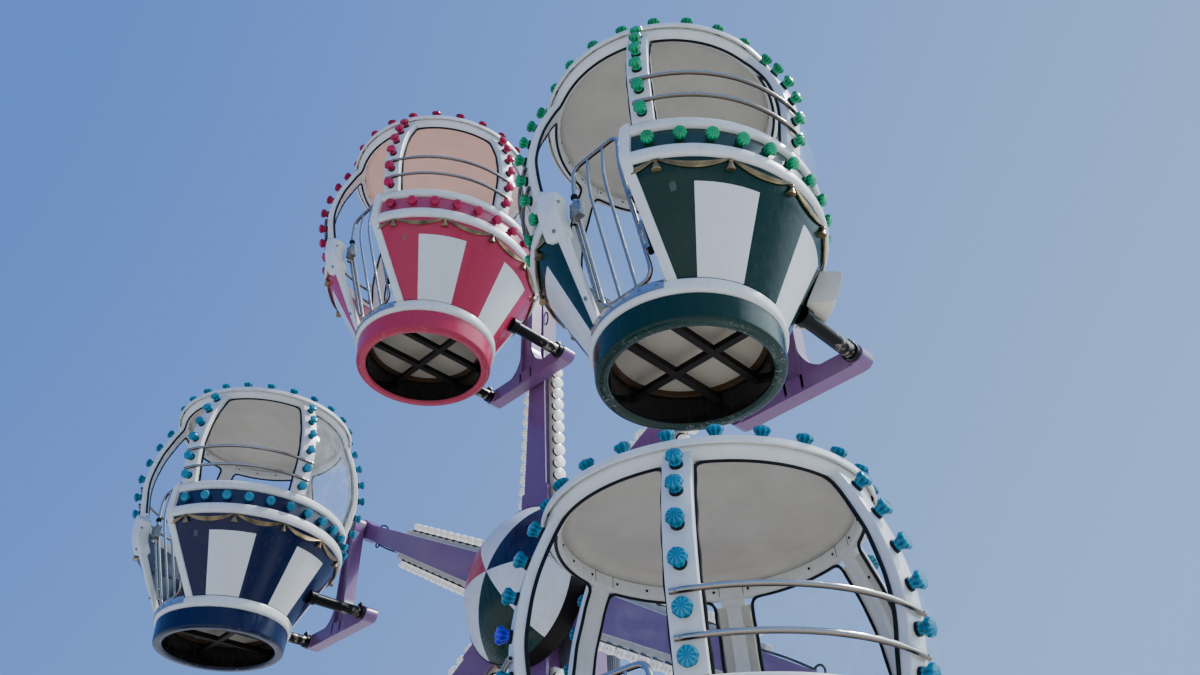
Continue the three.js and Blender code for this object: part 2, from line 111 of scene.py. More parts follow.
# Ribs and roof: radius and height from the lamp band up to the roof ring, and the share of that curve
# at which ribs and panes end
RIB_LINE = ((0.706, 0.886), (0.742, 1.10), (0.742, 1.23), (0.712, 1.40), (0.655, 1.56), (0.605, 1.667))
RIB_AZIMUTHS = (-120, -60, 0, 60, 120, 180)
REAR_RIBS = (60, 120)
RIB_WIDTH = 0.10
RIB_DEPTH = 0.042
RIB_TOP = 0.985
RING_SEAT = 1.69
RIB_LAMP_HEIGHTS = (0.93, 1.06, 1.20, 1.335, 1.467, 1.59)

# The roof lamps were not set out alike: the turn of the first one on each cabin
ROOF_LAMP_STARTS = {1: 7.5, 2: 2.5, 3: 2.5, 4: 7.5, 5: 2.5, 6: -2.5}
# One rib lamp of one cabin has a cap of another colour
ODD_CAP = {"cabin": 6, "azimuth": -120, "height": 1.20}
# Cabins with a lighting box behind the tub
BOX_CABINS = (1, 4)


def linear(hex_colour):
    """An sRGB hex colour as linear red, green, blue: ((c + 0.055) / 1.055) to the power 2.4 above 0.04."""
    values = np.array([int(hex_colour[i:i + 2], 16) / 255 for i in (1, 3, 5)])
    bright = ((values + 0.055) / 1.055) ** 2.4
    return tuple(float(v) for v in np.where(values <= 0.04045, values / 12.92, bright))


def colour_setting(name, description, hex_colour):
    """A colour that a user can change, with its default from a hex value."""
    return FloatVectorProperty(
        name=name, description=description, default=linear(hex_colour), size=3, min=0, max=1,
        subtype="COLOR")


def size_setting(name, description, default):
    """A length that a user can change, in metres."""
    return FloatProperty(
        name=name, description=description, default=default, min=0.0005, unit="LENGTH",
        subtype="DISTANCE", precision=4)


class FERRIS_PG_colours(PropertyGroup):
    green: colour_setting("Green", "Gelcoat of the green cabins", "#0A2E25")
    pink: colour_setting("Pink", "Gelcoat of the pink cabins", "#BC3450")
    navy: colour_setting("Navy", "Gelcoat of the navy cabins", "#0E1A3E")
    green_lamp: colour_setting("Green lamps", "Lens caps on the green cabins", "#008E5A")
    pink_lamp: colour_setting("Pink lamps", "Lens caps on the pink cabins", "#A4063F")
    navy_lamp: colour_setting("Blue lamps", "Lens caps on the navy cabins", "#037492")
    odd_lamp: colour_setting("Odd lamp", "The one cap of another colour", "#1A1CC0")
    white: colour_setting("White", "Gelcoat of the rings, ribs, posts and roofs", "#E6E5DE")
    cream: colour_setting("Cream", "Inside of the roofs and tubs, and the lamp rails", "#D3CBBB")
    # The blush tint is painted light: daylight coming pink through the roofs of the pink cabins
    blush: colour_setting("Blush", "Inside of the roofs of the pink cabins", "#EFC3B2")
    gold: colour_setting("Old gold", "Paint on the moulded swags and tassels", "#A58D62")
    purple: colour_setting("Purple", "Enamel on the steel frame", "#74487A")


class FERRIS_PG_cabin(PropertyGroup):
    stripe_pitch: FloatProperty(
        name="Stripe pitch", description="Turn from one painted stripe to the next",
        default=math.radians(26.76), min=0.1, max=1.0, subtype="ANGLE")
    lamp_diameter: size_setting("Lamp diameter", "Width of a lens cap", 0.065)
    band_lamps: IntProperty(
        name="Band lamps", description="Lamps in the band round the tub", default=28, min=2, max=60)
    roof_lamps: IntProperty(
        name="Roof lamps", description="Lamps round the roof ring", default=24, min=6, max=60)
    bar_diameter: size_setting("Grab bar diameter", "Thickness of the bars across the open bays", 0.020)
    gasket_diameter: size_setting("Gasket diameter", "Thickness of the black edging in each bay", 0.014)
    swag_drop: size_setting("Swag drop", "How far a swag hangs between its tassels", 0.036)
    pane_thickness: size_setting("Pane thickness", "Thickness of the clear rear panes", 0.004)


class FERRIS_PG_wheel(PropertyGroup):
    bulb_diameter: size_setting("Bulb diameter", "Width of a white bulb on the arms", 0.086)
    bulb_pitch: size_setting("Bulb pitch", "Distance from one bulb on a rail to the next", 0.092)
    edge_radius: size_setting("Edge radius", "Rounding of the edges of the welded boxes", 0.005)


class FERRIS_PG_stage(PropertyGroup):
    floor_width: size_setting("Floor width", "Width of the floor under the wheel", 60.0)
    floor_colour: colour_setting("Floor", "Plain pale floor", "#CEC8BB")
    air_colour: colour_setting("Backdrop", "Plain light all round", "#A0C6FF")
    air_light: FloatProperty(
        name="Backdrop light", description="Strength of the light from all round", default=1.0, min=0)
    halo_light: FloatProperty(
        name="Halo light", description="Strength of the soft glow round the main light", default=3.2, min=0)
    key_light: FloatProperty(
        name="Key light", description="Strength of the main soft light", default=4.4, min=0)


def unit(vectors):
    """Vectors divided by their lengths."""
    return vectors / np.linalg.norm(vectors, axis=-1, keepdims=True)


Shape = namedtuple("Shape", "points faces")


def shape_of(points, faces):
    """A shape from its points in one list and its faces as arrays of point numbers."""
    return Shape(np.asarray(points, float).reshape(-1, 3), faces)


def joined(shapes):
    """All the shapes as one, each with its point numbers moved on past those before it."""
    counts = [len(one.points) for one in shapes]
    starts = np.cumsum([0] + counts[:-1])
    faces = [face + start for one, start in zip(shapes, starts) for face in one.faces]
    return Shape(np.concatenate([one.points for one in shapes]), faces)


def placed(one, origins, axes):
    """Copies of a shape: the sum of each coordinate times the axis it goes with, plus the origin."""
    origins = np.asarray(origins, float).reshape(-1, 3)
    points = np.einsum("pi,kij->kpj", one.points, axes) + origins[:, None]
    steps = np.arange(len(origins))[:, None, None] * len(one.points)
    faces = [(face[None] + steps).reshape(-1, face.shape[1]) for face in one.faces]
    return Shape(points.reshape(-1, 3), faces)


def moved(one, offset):
    """The shape carried by an offset."""
    return Shape(one.points + np.asarray(offset, float), one.faces)


def facing(directions, reference=(0.0, 0.0, 1.0)):
    """Axes for each direction: the third is the direction and the first is square to the reference."""
    third = unit(np.asarray(directions, float).reshape(-1, 3))
    first = unit(np.cross(np.asarray(reference, float), third))
    return np.stack([first, np.cross(third, first), third], axis=1)


def around(radius, azimuth, height):
    """Points at radius times the cosine and the sine of the azimuth, at a height."""
    radius, turn, height = np.broadcast_arrays(radius, np.radians(azimuth), height)
    return np.stack([radius * np.cos(turn), radius * np.sin(turn), height], axis=-1)


def quads(number):
    """The faces between neighbouring rows and columns of point numbers."""
    return np.stack([number[:-1, :-1], number[:-1, 1:], number[1:, 1:], number[1:, :-1]], -1).reshape(-1, 4)


def sweep(rings, closed=False):
    """A skin over rings of points, which joins its start where it is closed and else ends in caps."""
    rows, columns = rings.shape[:2]
    number = np.arange(rows * columns).reshape(rows, columns)
    skin = np.hstack([number, number[:, :1]])
    if closed:
        return shape_of(rings, [quads(np.vstack([skin, skin[:1]]))])
    return shape_of(rings, [quads(skin), number[:1, ::-1], number[-1:]])


def band(section, azimuths=None, sides=120):
    """A closed section of radius and height turned about the middle line, all round or along azimuths."""
    section = np.asarray(section, float)
    whole = azimuths is None
    turns = np.arange(sides) * 360 / sides if whole else np.asarray(azimuths, float)
    return sweep(around(section[None, :, 0], turns[:, None], section[None, :, 1]), closed=whole)


def shell(outer, inner):
    """A thin wall between two grids of points, closed along its four edges."""
    rings = np.concatenate([outer, inner[::-1]], axis=0).transpose(1, 0, 2)
    rows = outer.shape[0]
    columns, ring = rings.shape[:2]
    number = np.arange(columns * ring).reshape(columns, ring)
    skin = quads(np.hstack([number, number[:, :1]]))
    ends = [quads(np.stack([number[i, :rows], number[i, rows:][::-1]])) for i in (0, -1)]
    return shape_of(rings, [skin, *ends])


def rounded(corners, radius, steps=4):
    """An outline whose corners are curves: (1-t)² start + 2t(1-t) corner + t² end of each corner."""
    corners = np.asarray(corners, float)
    reach = np.broadcast_to(radius, corners.shape[:-1])[..., None]
    back = np.roll(corners, 1, axis=-2) - corners
    ahead = np.roll(corners, -1, axis=-2) - corners
    lengths = [np.linalg.norm(side, axis=-1, keepdims=True) for side in (back, ahead)]
    start, end = (corners + side / size * np.minimum(reach, size / 2)
                  for side, size in zip((back, ahead), lengths))
    t = np.linspace(0, 1, steps + 1)[:, None]
    curves = ((1 - t) ** 2 * start[..., None, :] + 2 * t * (1 - t) * corners[..., None, :]
              + t ** 2 * end[..., None, :])
    return curves.reshape(*corners.shape[:-2], -1, corners.shape[-1])


def smooth(points, count):
    """A curve through points: half of 2b + (c-a)t + (2a-5b+4c-d)t² + (3b-a-3c+d)t³ from b to c."""
    points = np.asarray(points, float)
    padded = np.vstack([2 * points[0] - points[1], points, 2 * points[-1] - points[-2]])
    place = np.linspace(0, len(points) - 1, count)
    index = np.minimum(place.astype(int), len(points) - 2)
    t = (place - index)[:, None]
    a, b, c, d = (padded[index + k] for k in range(4))
    return (2 * b + (c - a) * t + (2 * a - 5 * b + 4 * c - d) * t ** 2
            + (3 * b - a - 3 * c + d) * t ** 3) / 2


def read_along(points, shares):
    """Points at shares of a line's whole travel, read off each coordinate against the travel."""
    points = np.asarray(points, float)
    travel = np.concatenate([[0], np.cumsum(np.linalg.norm(np.diff(points, axis=0), axis=1))])
    wanted = np.asarray(shares) * travel[-1]
    return np.stack([np.interp(wanted, travel, column) for column in points.T], axis=1)


def turned(one, azimuth):
    """The shape carried round the middle line from azimuth 0."""
    turn = math.radians(azimuth)
    spin = np.array([[math.cos(turn), math.sin(turn), 0], [-math.sin(turn), math.cos(turn), 0], [0, 0, 1]])
    return Shape(one.points @ spin, one.faces)


def tube(path, radius, sides=12, up=(0.0, 0.0, 1.0), closed=False):
    """A round tube: each path point plus the radius times the cosine of a turn along one side
    direction and its sine along the other."""
    path = np.asarray(path, float)
    along = np.roll(path, -1, 0) - np.roll(path, 1, 0) if closed else np.gradient(path, axis=0)
    side = unit(np.cross(unit(along), np.asarray(up, float)))
    other = np.cross(side, unit(along))
    turn = np.arange(sides) * 2 * np.pi / sides
    size = np.broadcast_to(radius, len(path))[:, None, None]
    circle = np.cos(turn)[:, None] * side[:, None] + np.sin(turn)[:, None] * other[:, None]
    return sweep(path[:, None] + size * circle, closed=closed)


def rod(start, end, radius, sides=24, chamfer=0.0015):
    """A round bar from point to point, with its ends drawn in by the chamfer."""
    start, end = np.asarray(start, float), np.asarray(end, float)
    along = unit(end - start)
    path = np.array([start, start + along * chamfer, end - along * chamfer, end])
    radii = np.array([radius - chamfer, radius, radius, radius - chamfer])
    axes = facing(along, (0.0, 0.0, 1.0) if abs(along[2]) < 0.9 else (1.0, 0.0, 0.0))[0]
    turn = np.arange(sides) * 2 * np.pi / sides
    circle = np.cos(turn)[:, None] * axes[0] + np.sin(turn)[:, None] * axes[1]
    return sweep(path[:, None] + radii[:, None, None] * circle)


def slab(outline, y0, y1):
    """An outline in X and Z carried along Y."""
    outline = np.asarray(outline, float)
    depth = np.broadcast_to(np.array([y0, y1], float)[:, None], (2, len(outline)))
    flat = np.broadcast_to(outline, (2, *outline.shape))
    return sweep(np.stack([flat[..., 0], depth, flat[..., 1]], axis=-1))


def box(x0, x1, y0, y1, z0, z1):
    """A box between two corners."""
    return slab([(x0, z0), (x1, z0), (x1, z1), (x0, z1)], y0, y1)


def bolt_head(across, height):
    """A hexagon head standing along +Z on a thin round washer."""
    wide, thin = across * 0.68, height * 0.22
    washer = band([(0, 0), (wide, 0), (wide, thin), (0, thin)], sides=16)
    width = across / math.cos(math.pi / 6) / 2
    head = band([(0, 0), (width, 0), (width, height * 0.85), (width * 0.86, height), (0, height)], sides=6)
    return joined([washer, head])


def bolts(places, directions, across, height):
    """Bolt heads at places, each standing along its direction."""
    places = np.asarray(places, float).reshape(-1, 3)
    directions = np.broadcast_to(np.asarray(directions, float), places.shape)
    reference = np.where(np.abs(unit(directions)[:, 2:]) > 0.9, (1.0, 0.0, 0.0), (0.0, 0.0, 1.0))
    return placed(bolt_head(across, height), places, facing(directions, reference))


def ring_of_bolts(count, radius, middle, way, across, height, start=0.0):
    """Bolt heads round a middle, evenly turned in a plane across Y, each standing along the way."""
    x, z, y = around(radius, start + np.arange(count) * 360 / count, 0.0).T
    return bolts(np.stack([x, y, z], axis=1) + middle, way, across, height)


def edge_azimuth(edge, radius, height):
    """Where an edge of the gate opening meets a radius: minus the angle whose cosine is x over radius."""
    (low, low_x), (high, high_x) = edge
    x = low_x + (height - low) * (high_x - low_x) / (high - low)
    azimuth = -np.degrees(np.arccos(np.clip(x / radius, -1, 1)))
    return azimuth if edge is RIGHT_EDGE else azimuth + 360


def rib_line(count, inset=0.0, high=1.0):
    """Points of radius and height on the curve of the ribs, moved in along its normal, up to a share of
    the whole curve."""
    fine = smooth(RIB_LINE, 400)
    slope = unit(np.gradient(fine, axis=0))
    fine = fine - inset * np.stack([slope[:, 1], -slope[:, 0]], axis=1)
    return read_along(fine, np.linspace(0, high, count))


def plug(node, inputs):
    """Sets a node's inputs, in their order or by name or number. What goes in is a value, a socket to
    link, or a node whose first usable output is linked."""
    named = inputs if isinstance(inputs, dict) else dict(enumerate(inputs))
    for socket, value in named.items():
        if isinstance(value, bpy.types.Node):
            value = next(output for output in value.outputs if output.enabled)
        if isinstance(value, bpy.types.NodeSocket):
            node.id_data.links.new(value, node.inputs[socket])
        elif isinstance(value, tuple) and len(value) == 3 and node.inputs[socket].type == "RGBA":
            node.inputs[socket].default_value = (*value, 1.0)
        else:
            node.inputs[socket].default_value = value


def add(tree, kind, inputs=(), **settings):
    """Adds a node of a kind with its settings by name, then plugs in its inputs. A map range takes its
    value, the range it comes from and the range it goes to, which is 0 to 1 where none is given."""
    node = tree.nodes.new("ShaderNode" + kind)
    for name, value in settings.items():
        setattr(node, name, value)
    plug(node, inputs)
    return node


def new_finish(name, inputs):
    """An empty material with its shader, and the Object coordinates that its patterns read."""
    material = bpy.data.materials.new(name)
    material.use_nodes = True
    tree = material.node_tree
    tree.nodes.clear()
    shader = add(tree, "BsdfPrincipled", inputs)
    add(tree, "OutputMaterial", (shader,))
    return material, tree, shader, add(tree, "TexCoord").outputs["Object"]


def weather(tree, shader, spot, colour, soil=linear("#5E5A4E"), amount=0.16, gloss=(0.22, 0.42),
            ripple=0.25):
    """Ageing of a painted surface: cloudy fading 150 mm across, streaks that run down 25 mm apart,
    specks 4 mm across, a gloss that varies with the streaks, and a slight ripple of the surface."""
    cloud = add(tree, "TexNoise", {"Vector": spot, "Scale": 6.5, "Detail": 4.0})
    stretch = add(tree, "Mapping", {"Vector": spot, "Scale": (40.0, 40.0, 3.0)})
    streak = add(tree, "TexNoise", {"Vector": stretch, "Scale": 1.0, "Detail": 5.0})
    both = add(tree, "Math", (cloud, streak), operation="MULTIPLY")
    grime = add(tree, "MapRange", (both, 0.20, 0.42, 0.0, amount))
    dirty = add(tree, "Mix", {0: grime, 6: colour, 7: soil}, data_type="RGBA")
    speck = add(tree, "TexNoise", {"Vector": spot, "Scale": 230.0, "Detail": 2.0})
    dot = add(tree, "MapRange", (speck, 0.70, 0.75, 0.0, 1.5 * amount))
    specked = add(tree, "Mix", {0: dot, 6: dirty, 7: soil}, data_type="RGBA")
    shine = add(tree, "MapRange", (streak, 0.3, 0.7, *gloss))
    wave = add(tree, "TexNoise", {"Vector": spot, "Scale": 22.0, "Detail": 3.0})
    bump = add(tree, "Bump", {"Height": wave, "Strength": ripple, "Distance": 0.004})
    plug(shader, {"Base Color": specked, "Roughness": shine, "Normal": bump})


# Deep gelcoat has a low gloss level, so that a pale floor doesn't wash out its colour
DEEP_GLOSS = {"IOR": 1.45, "Specular IOR Level": 0.26, "Coat Weight": 0.10, "Coat Roughness": 0.05}
# Chalked gelcoat and brushed enamel have a thin, soft sheen
SOFT_GLOSS = {"IOR": 1.5, "Coat Weight": 0.2, "Coat Roughness": 0.15}


def gelcoat(name, colour):
    """Polyester gelcoat on a hand-laid moulding: deep even colour, a soft gloss and slight ripples."""
    material, tree, shader, spot = new_finish(name, DEEP_GLOSS)
    weather(tree, shader, spot, colour, amount=0.08, gloss=(0.16, 0.34))
    return material


def skirt_gelcoat(name, colour):
    """Gelcoat of the bottom ring: its lip is rubbed to a duller tone and chipped along the edge, and
    the inside wall of the ring is painted near-black as painted shade of the recess."""
    material, tree, shader, spot = new_finish(name, DEEP_GLOSS)
    place = add(tree, "Attribute", attribute_name="place").outputs["Vector"]
    _, height, radius = add(tree, "SeparateXYZ", (place,)).outputs
    lip = add(tree, "MapRange", (height, 0.006, 0.016, 0.9, 0.0))
    rubbed_tone = tuple(0.85 * c for c in colour)
    rubbed = add(tree, "Mix", {0: lip, 6: colour, 7: rubbed_tone}, data_type="RGBA")
    chip = add(tree, "TexNoise", {"Vector": spot, "Scale": 60.0, "Detail": 9.0, "Roughness": 0.75})
    cloud = add(tree, "TexNoise", {"Vector": spot, "Scale": 4.0, "Detail": 2.0})
    edge = add(tree, "MapRange", (height, 0.004, 0.024, 0.5, 0.33))
    rim = add(tree, "Math", (chip, edge), operation="ADD")
    patchy = add(tree, "Math", (cloud, 0.35, rim), operation="MULTIPLY_ADD")
    worn = add(tree, "MapRange", (patchy, 1.27, 1.33, 0.0, 0.75))
    pale = tuple(0.45 * c + 0.20 for c in colour)
    chipped = add(tree, "Mix", {0: worn, 6: rubbed, 7: pale}, data_type="RGBA")
    # Painted shade: the inside wall of the ring is mixed to near-black
    inside = add(tree, "MapRange", (radius, SKIRT_INSIDE + 0.0015, SKIRT_INSIDE + 0.0040, 1.0, 0.0))
    painted_shade_inside = add(tree, "Mix", {0: inside, 6: chipped, 7: linear("#100F0F")}, data_type="RGBA")
    weather(tree, shader, spot, painted_shade_inside, amount=0.05, gloss=(0.14, 0.30))
    return material


def striped_gelcoat(name, colour, white, pitch):
    """Gelcoat sprayed in upright stripes through a mask: coloured and white in turn from both posts
    to the back and plain colour above, with one small oval rubbed pale beside the gate."""
    material, tree, shader, spot = new_finish(name, DEEP_GLOSS)
    place = add(tree, "Attribute", attribute_name="place").outputs["Vector"]
    azimuth, height, _ = add(tree, "SeparateXYZ", (place,)).outputs
    turns = add(tree, "Math", (azimuth, 90 / 360), operation="SUBTRACT")
    away = add(tree, "Math", (turns,), operation="ABSOLUTE")
    left = add(tree, "Math", (turns, 0.0), operation="GREATER_THAN")
    behind = add(tree, "Math", (left, -0.507), operation="MULTIPLY")
    count = add(tree, "Math", (away, 2 * math.pi / pitch, behind), operation="MULTIPLY_ADD")
    pair = add(tree, "Math", (count, 2.0), operation="FLOORED_MODULO")
    odd = add(tree, "Math", (pair, 1.0), operation="LESS_THAN")
    low = add(tree, "Math", (height, STRIPE_TOP), operation="LESS_THAN")
    stripe = add(tree, "Math", (odd, low), operation="MULTIPLY")
    mixed = add(tree, "Mix", {0: stripe, 6: colour, 7: white}, data_type="RGBA")
    wide, tall = 0.0040, 0.022
    oval = add(tree, "Mapping", {
        "Vector": place, "Location": (0.1445 / wide, -0.545 / tall, 0.0),
        "Scale": (1 / wide, 1 / tall, 0.0)})
    reach = add(tree, "VectorMath", (oval,), operation="LENGTH")
    rough_edge = add(tree, "TexNoise", {"Vector": spot, "Scale": 90.0, "Detail": 3.0})
    ragged = add(tree, "Math", (reach, rough_edge), operation="ADD")
    bare = add(tree, "MapRange", (ragged, 1.35, 1.45, 0.5, 0.0))
    patched = add(tree, "Mix", {0: bare, 6: mixed, 7: linear("#5F6B62")}, data_type="RGBA")
    weather(tree, shader, spot, patched, amount=0.07, gloss=(0.14, 0.30))
    return material


def white_gelcoat(name, white):
    """White gelcoat, a little chalked by the sun, with faint grime in streaks."""
    material, tree, shader, spot = new_finish(name, SOFT_GLOSS)
    weather(tree, shader, spot, white, soil=linear("#8C8470"), amount=0.14, gloss=(0.25, 0.45))
    return material


def flowcoat(name, cream, glow=0.0):
    """The back of the mouldings, flow-coated: dull, with faint smears and a few dark specks. With a glow
    given, it gives out a little painted light of its own colour, standing in for daylight coming through a
    thin moulding."""
    # The emission is painted light: daylight coming through a thin moulding
    material, tree, shader, spot = new_finish(name, {
        "IOR": 1.48, "Emission Color": cream, "Emission Strength": glow})
    smear = add(tree, "TexNoise", {"Vector": spot, "Scale": 5.0, "Detail": 6.0, "Roughness": 0.6})
    share = add(tree, "MapRange", (smear, 0.40, 0.70, 0.0, 0.22))
    smeared = add(tree, "Mix", {0: share, 6: cream, 7: linear("#8F8775")}, data_type="RGBA")
    weather(tree, shader, spot, smeared, linear("#6F6656"), 0.05, (0.45, 0.6), 0.15)
    return material


def enamel(name, colour):
    """Brushed alkyd enamel on steel: glossy, sun-faded in clouds, with dust lying in it."""
    material, tree, shader, spot = new_finish(name, SOFT_GLOSS)
    fade = add(tree, "TexNoise", {"Vector": spot, "Scale": 2.2, "Detail": 5.0})
    pale = tuple(min(1.0, 0.8 * c + 0.06) for c in colour)
    share = add(tree, "MapRange", (fade, 0.45, 0.75, 0.0, 0.35))
    mixed = add(tree, "Mix", {0: share, 6: colour, 7: pale}, data_type="RGBA")
    weather(tree, shader, spot, mixed, amount=0.02, gloss=(0.27, 0.34))
    return material


def polished_steel(name):
    """Polished stainless tube: a bright mirror with dull fingermarks, whose downward sides are painted
    brown and dark, a painted reflection of trodden ground."""
    material, tree, shader, spot = new_finish(name, {"Metallic": 1.0})
    # Painted reflection: the colour turns brown and dark where the surface faces down
    _, _, upward = add(tree, "SeparateXYZ", (add(tree, "NewGeometry").outputs["Normal"],)).outputs
    share = add(tree, "MapRange", (upward, -0.85, 0.15))
    mixed = add(tree, "Mix", {0: share, 6: linear("#6A5F54"), 7: linear("#CFC8BC")}, data_type="RGBA")
    mark = add(tree, "TexNoise", {"Vector": spot, "Scale": 40.0, "Detail": 6.0})
    shine = add(tree, "MapRange", (mark, 0.35, 0.7, 0.12, 0.28))
    plug(shader, {"Base Color": mixed, "Roughness": shine})
    return material


def zinc_plate(name):
    """Zinc-plated steel of bolts, latches and brackets: grey, dull, with darker blooms."""
    material, tree, shader, spot = new_finish(name, {"Metallic": 1.0})
    bloom = add(tree, "TexNoise", {"Vector": spot, "Scale": 90.0, "Detail": 5.0})
    mixed = add(tree, "Mix", {0: bloom, 6: linear("#6E7278"), 7: linear("#B4B8BC")}, data_type="RGBA")
    shine = add(tree, "MapRange", (bloom, 0.3, 0.7, 0.5, 0.3))
    plug(shader, {"Base Color": mixed, "Roughness": shine})
    return material


def black_steel(name, worn):
    """Steel tube painted black, rubbed through to bare metal in patches, which grow together on a
    cabin's tubes beyond 0.74 m from the middle, where their clamps sit."""
    material, tree, shader, spot = new_finish(name, {
        "IOR": 1.4, "Specular IOR Level": 0.2, "Roughness": 0.34})
    rub = add(tree, "TexNoise", {"Vector": spot, "Scale": 26.0, "Detail": 8.0, "Roughness": 0.65})
    place = add(tree, "Attribute", attribute_name="place").outputs["Vector"]
    _, _, radius = add(tree, "SeparateXYZ", (place,)).outputs
    clamped = add(tree, "MapRange", (radius, 0.735, 0.760, 0.0, 0.16))
    total = add(tree, "Math", (rub, clamped), operation="ADD")
    bare = add(tree, "MapRange", (total, 1 - worn, 1.04 - worn))
    mixed = add(tree, "Mix", {0: bare, 6: linear("#070707"), 7: linear("#7C746A")}, data_type="RGBA")
    plug(shader, {"Base Color": mixed, "Metallic": bare})
    return material


def matt_black(name, dark="#0B0B0D", bloomed="#222224"):
    """Extruded rubber edging and moulded sockets: matt black with a grey bloom. Other matt sheets
    differ by their two tones."""
    material, tree, shader, spot = new_finish(name, {
        "Roughness": 0.5, "IOR": 1.4, "Specular IOR Level": 0.2})
    bloom = add(tree, "TexNoise", {"Vector": spot, "Scale": 60.0, "Detail": 4.0})
    mixed = add(tree, "Mix", {0: bloom, 6: linear(dark), 7: linear(bloomed)}, data_type="RGBA")
    plug(shader, {"Base Color": mixed})
    return material


def lens_plastic(name, colour, dull, cut_shade=0.30, glow=0.18):
    """Moulded acrylic lens cap: saturated and glossy, with two sets of slanting cuts that cross into
    diamonds, painted darker in the cuts as painted shade and pale on their tops as painted glints, and some
    caps darker than others. Its glow is painted light, standing in for daylight through the acrylic."""
    # The emission is painted light: daylight coming through the acrylic
    material, tree, shader, spot = new_finish(name, {
        "IOR": 1.45, "Specular IOR Level": 0.25, "Roughness": 0.10, "Emission Strength": glow})
    place = add(tree, "Attribute", attribute_name="place").outputs["Vector"]
    x, y, z = add(tree, "SeparateXYZ", (place,)).outputs
    turn = add(tree, "Math", (y, x), operation="ARCTAN2")
    waves = []
    for slope in (2.4, -2.4):
        climb = add(tree, "Math", (z, slope), operation="MULTIPLY")
        angle = add(tree, "Math", (turn, 5.0, climb), operation="MULTIPLY_ADD")
        waves.append(add(tree, "Math", (angle,), operation="SINE"))
    diamond = add(tree, "Math", waves, operation="MULTIPLY")
    # Painted shade and highlight: the cuts are mixed darker and the crests of the diamonds paler
    cut = add(tree, "MapRange", (diamond, -0.75, 0.25))
    painted_glint = add(tree, "MapRange", (diamond, 0.70, 1.0, 0.0, 0.40))
    deep = tuple(cut_shade * c for c in colour)
    pale = tuple(0.80 * c + 0.20 for c in colour)
    fluted = add(tree, "Mix", {0: cut, 6: deep, 7: colour}, data_type="RGBA")
    differ = add(tree, "TexNoise", {"Vector": spot, "Scale": 9.0, "Detail": 1.0})
    share = add(tree, "MapRange", (differ, 0.5, 0.7, 0.0, 0.65))
    mixed = add(tree, "Mix", {0: share, 6: fluted, 7: dull}, data_type="RGBA")
    lit = add(tree, "Mix", {0: painted_glint, 6: mixed, 7: pale}, data_type="RGBA")
    bump = add(tree, "Bump", {"Height": cut, "Strength": 0.5, "Distance": 0.002})
    plug(shader, {"Base Color": lit, "Emission Color": lit, "Normal": bump})
    return material


def clear_plastic(name):
    """Clear polycarbonate sheet, faintly blue, hazed by fine scratches."""
    material, tree, shader, spot = new_finish(name, {
        "IOR": 1.58, "Roughness": 0.05, "Base Color": linear("#DCE8F2")})
    haze = add(tree, "TexNoise", {"Vector": spot, "Scale": 14.0, "Detail": 9.0})
    veil = add(tree, "MapRange", (haze, 0.45, 0.75, 0.05, 0.14))
    plug(shader, {"Alpha": veil})
    return material


def old_gold(name, gold):
    """Gold paint on the moulded ornament: half metallic and smooth, with dark wash left in patches."""
    material, tree, shader, spot = new_finish(name, {"Roughness": 0.30, "Metallic": 0.55, "IOR": 1.5})
    wash = add(tree, "TexNoise", {"Vector": spot, "Scale": 11.0, "Detail": 2.0})
    share = add(tree, "MapRange", (wash, 0.38, 0.60, 0.1, 1.0))
    mixed = add(tree, "Mix", {0: share, 6: linear("#4C4230"), 7: gold}, data_type="RGBA")
    plug(shader, {"Base Color": mixed})
    return material


def harlequin_gelcoat(name, colours):
    """The hub cap's gelcoat in six sectors round its pole, colour and white in turn. The sector is
    the angle of the point round the hub, divided by a sixth of a turn."""
    material, tree, shader, spot = new_finish(name, DEEP_GLOSS)
    centred = add(tree, "Mapping", {"Vector": spot, "Location": tuple(-HUB)})
    x, _, z = add(tree, "SeparateXYZ", (centred,)).outputs
    angle = add(tree, "Math", (z, x), operation="ARCTAN2")
    turn = add(tree, "Math", (angle, 2 * math.pi), operation="DIVIDE")
    whole = add(tree, "Math", (turn, 1.0), operation="FLOORED_MODULO")
    ramp = add(tree, "ValToRGB", (whole,))
    stops = ramp.color_ramp
    stops.interpolation = "CONSTANT"
    for i, colour in enumerate(colours):
        stop = stops.elements[i] if i < 2 else stops.elements.new(i / len(colours))
        stop.position = i / len(colours)
        stop.color = (*colour, 1.0)
    weather(tree, shader, spot, ramp)
    return material


def floor_paint(name, colour):
    """A plain pale painted floor with barely visible unevenness."""
    material, tree, shader, spot = new_finish(name, {"Roughness": 0.8})
    cloud = add(tree, "TexNoise", {"Vector": spot, "Scale": 0.6, "Detail": 3.0})
    darker = tuple(0.96 * c for c in colour)
    mixed = add(tree, "Mix", {0: cloud, 6: colour, 7: darker}, data_type="RGBA")
    plug(shader, {"Base Color": mixed})
    return material


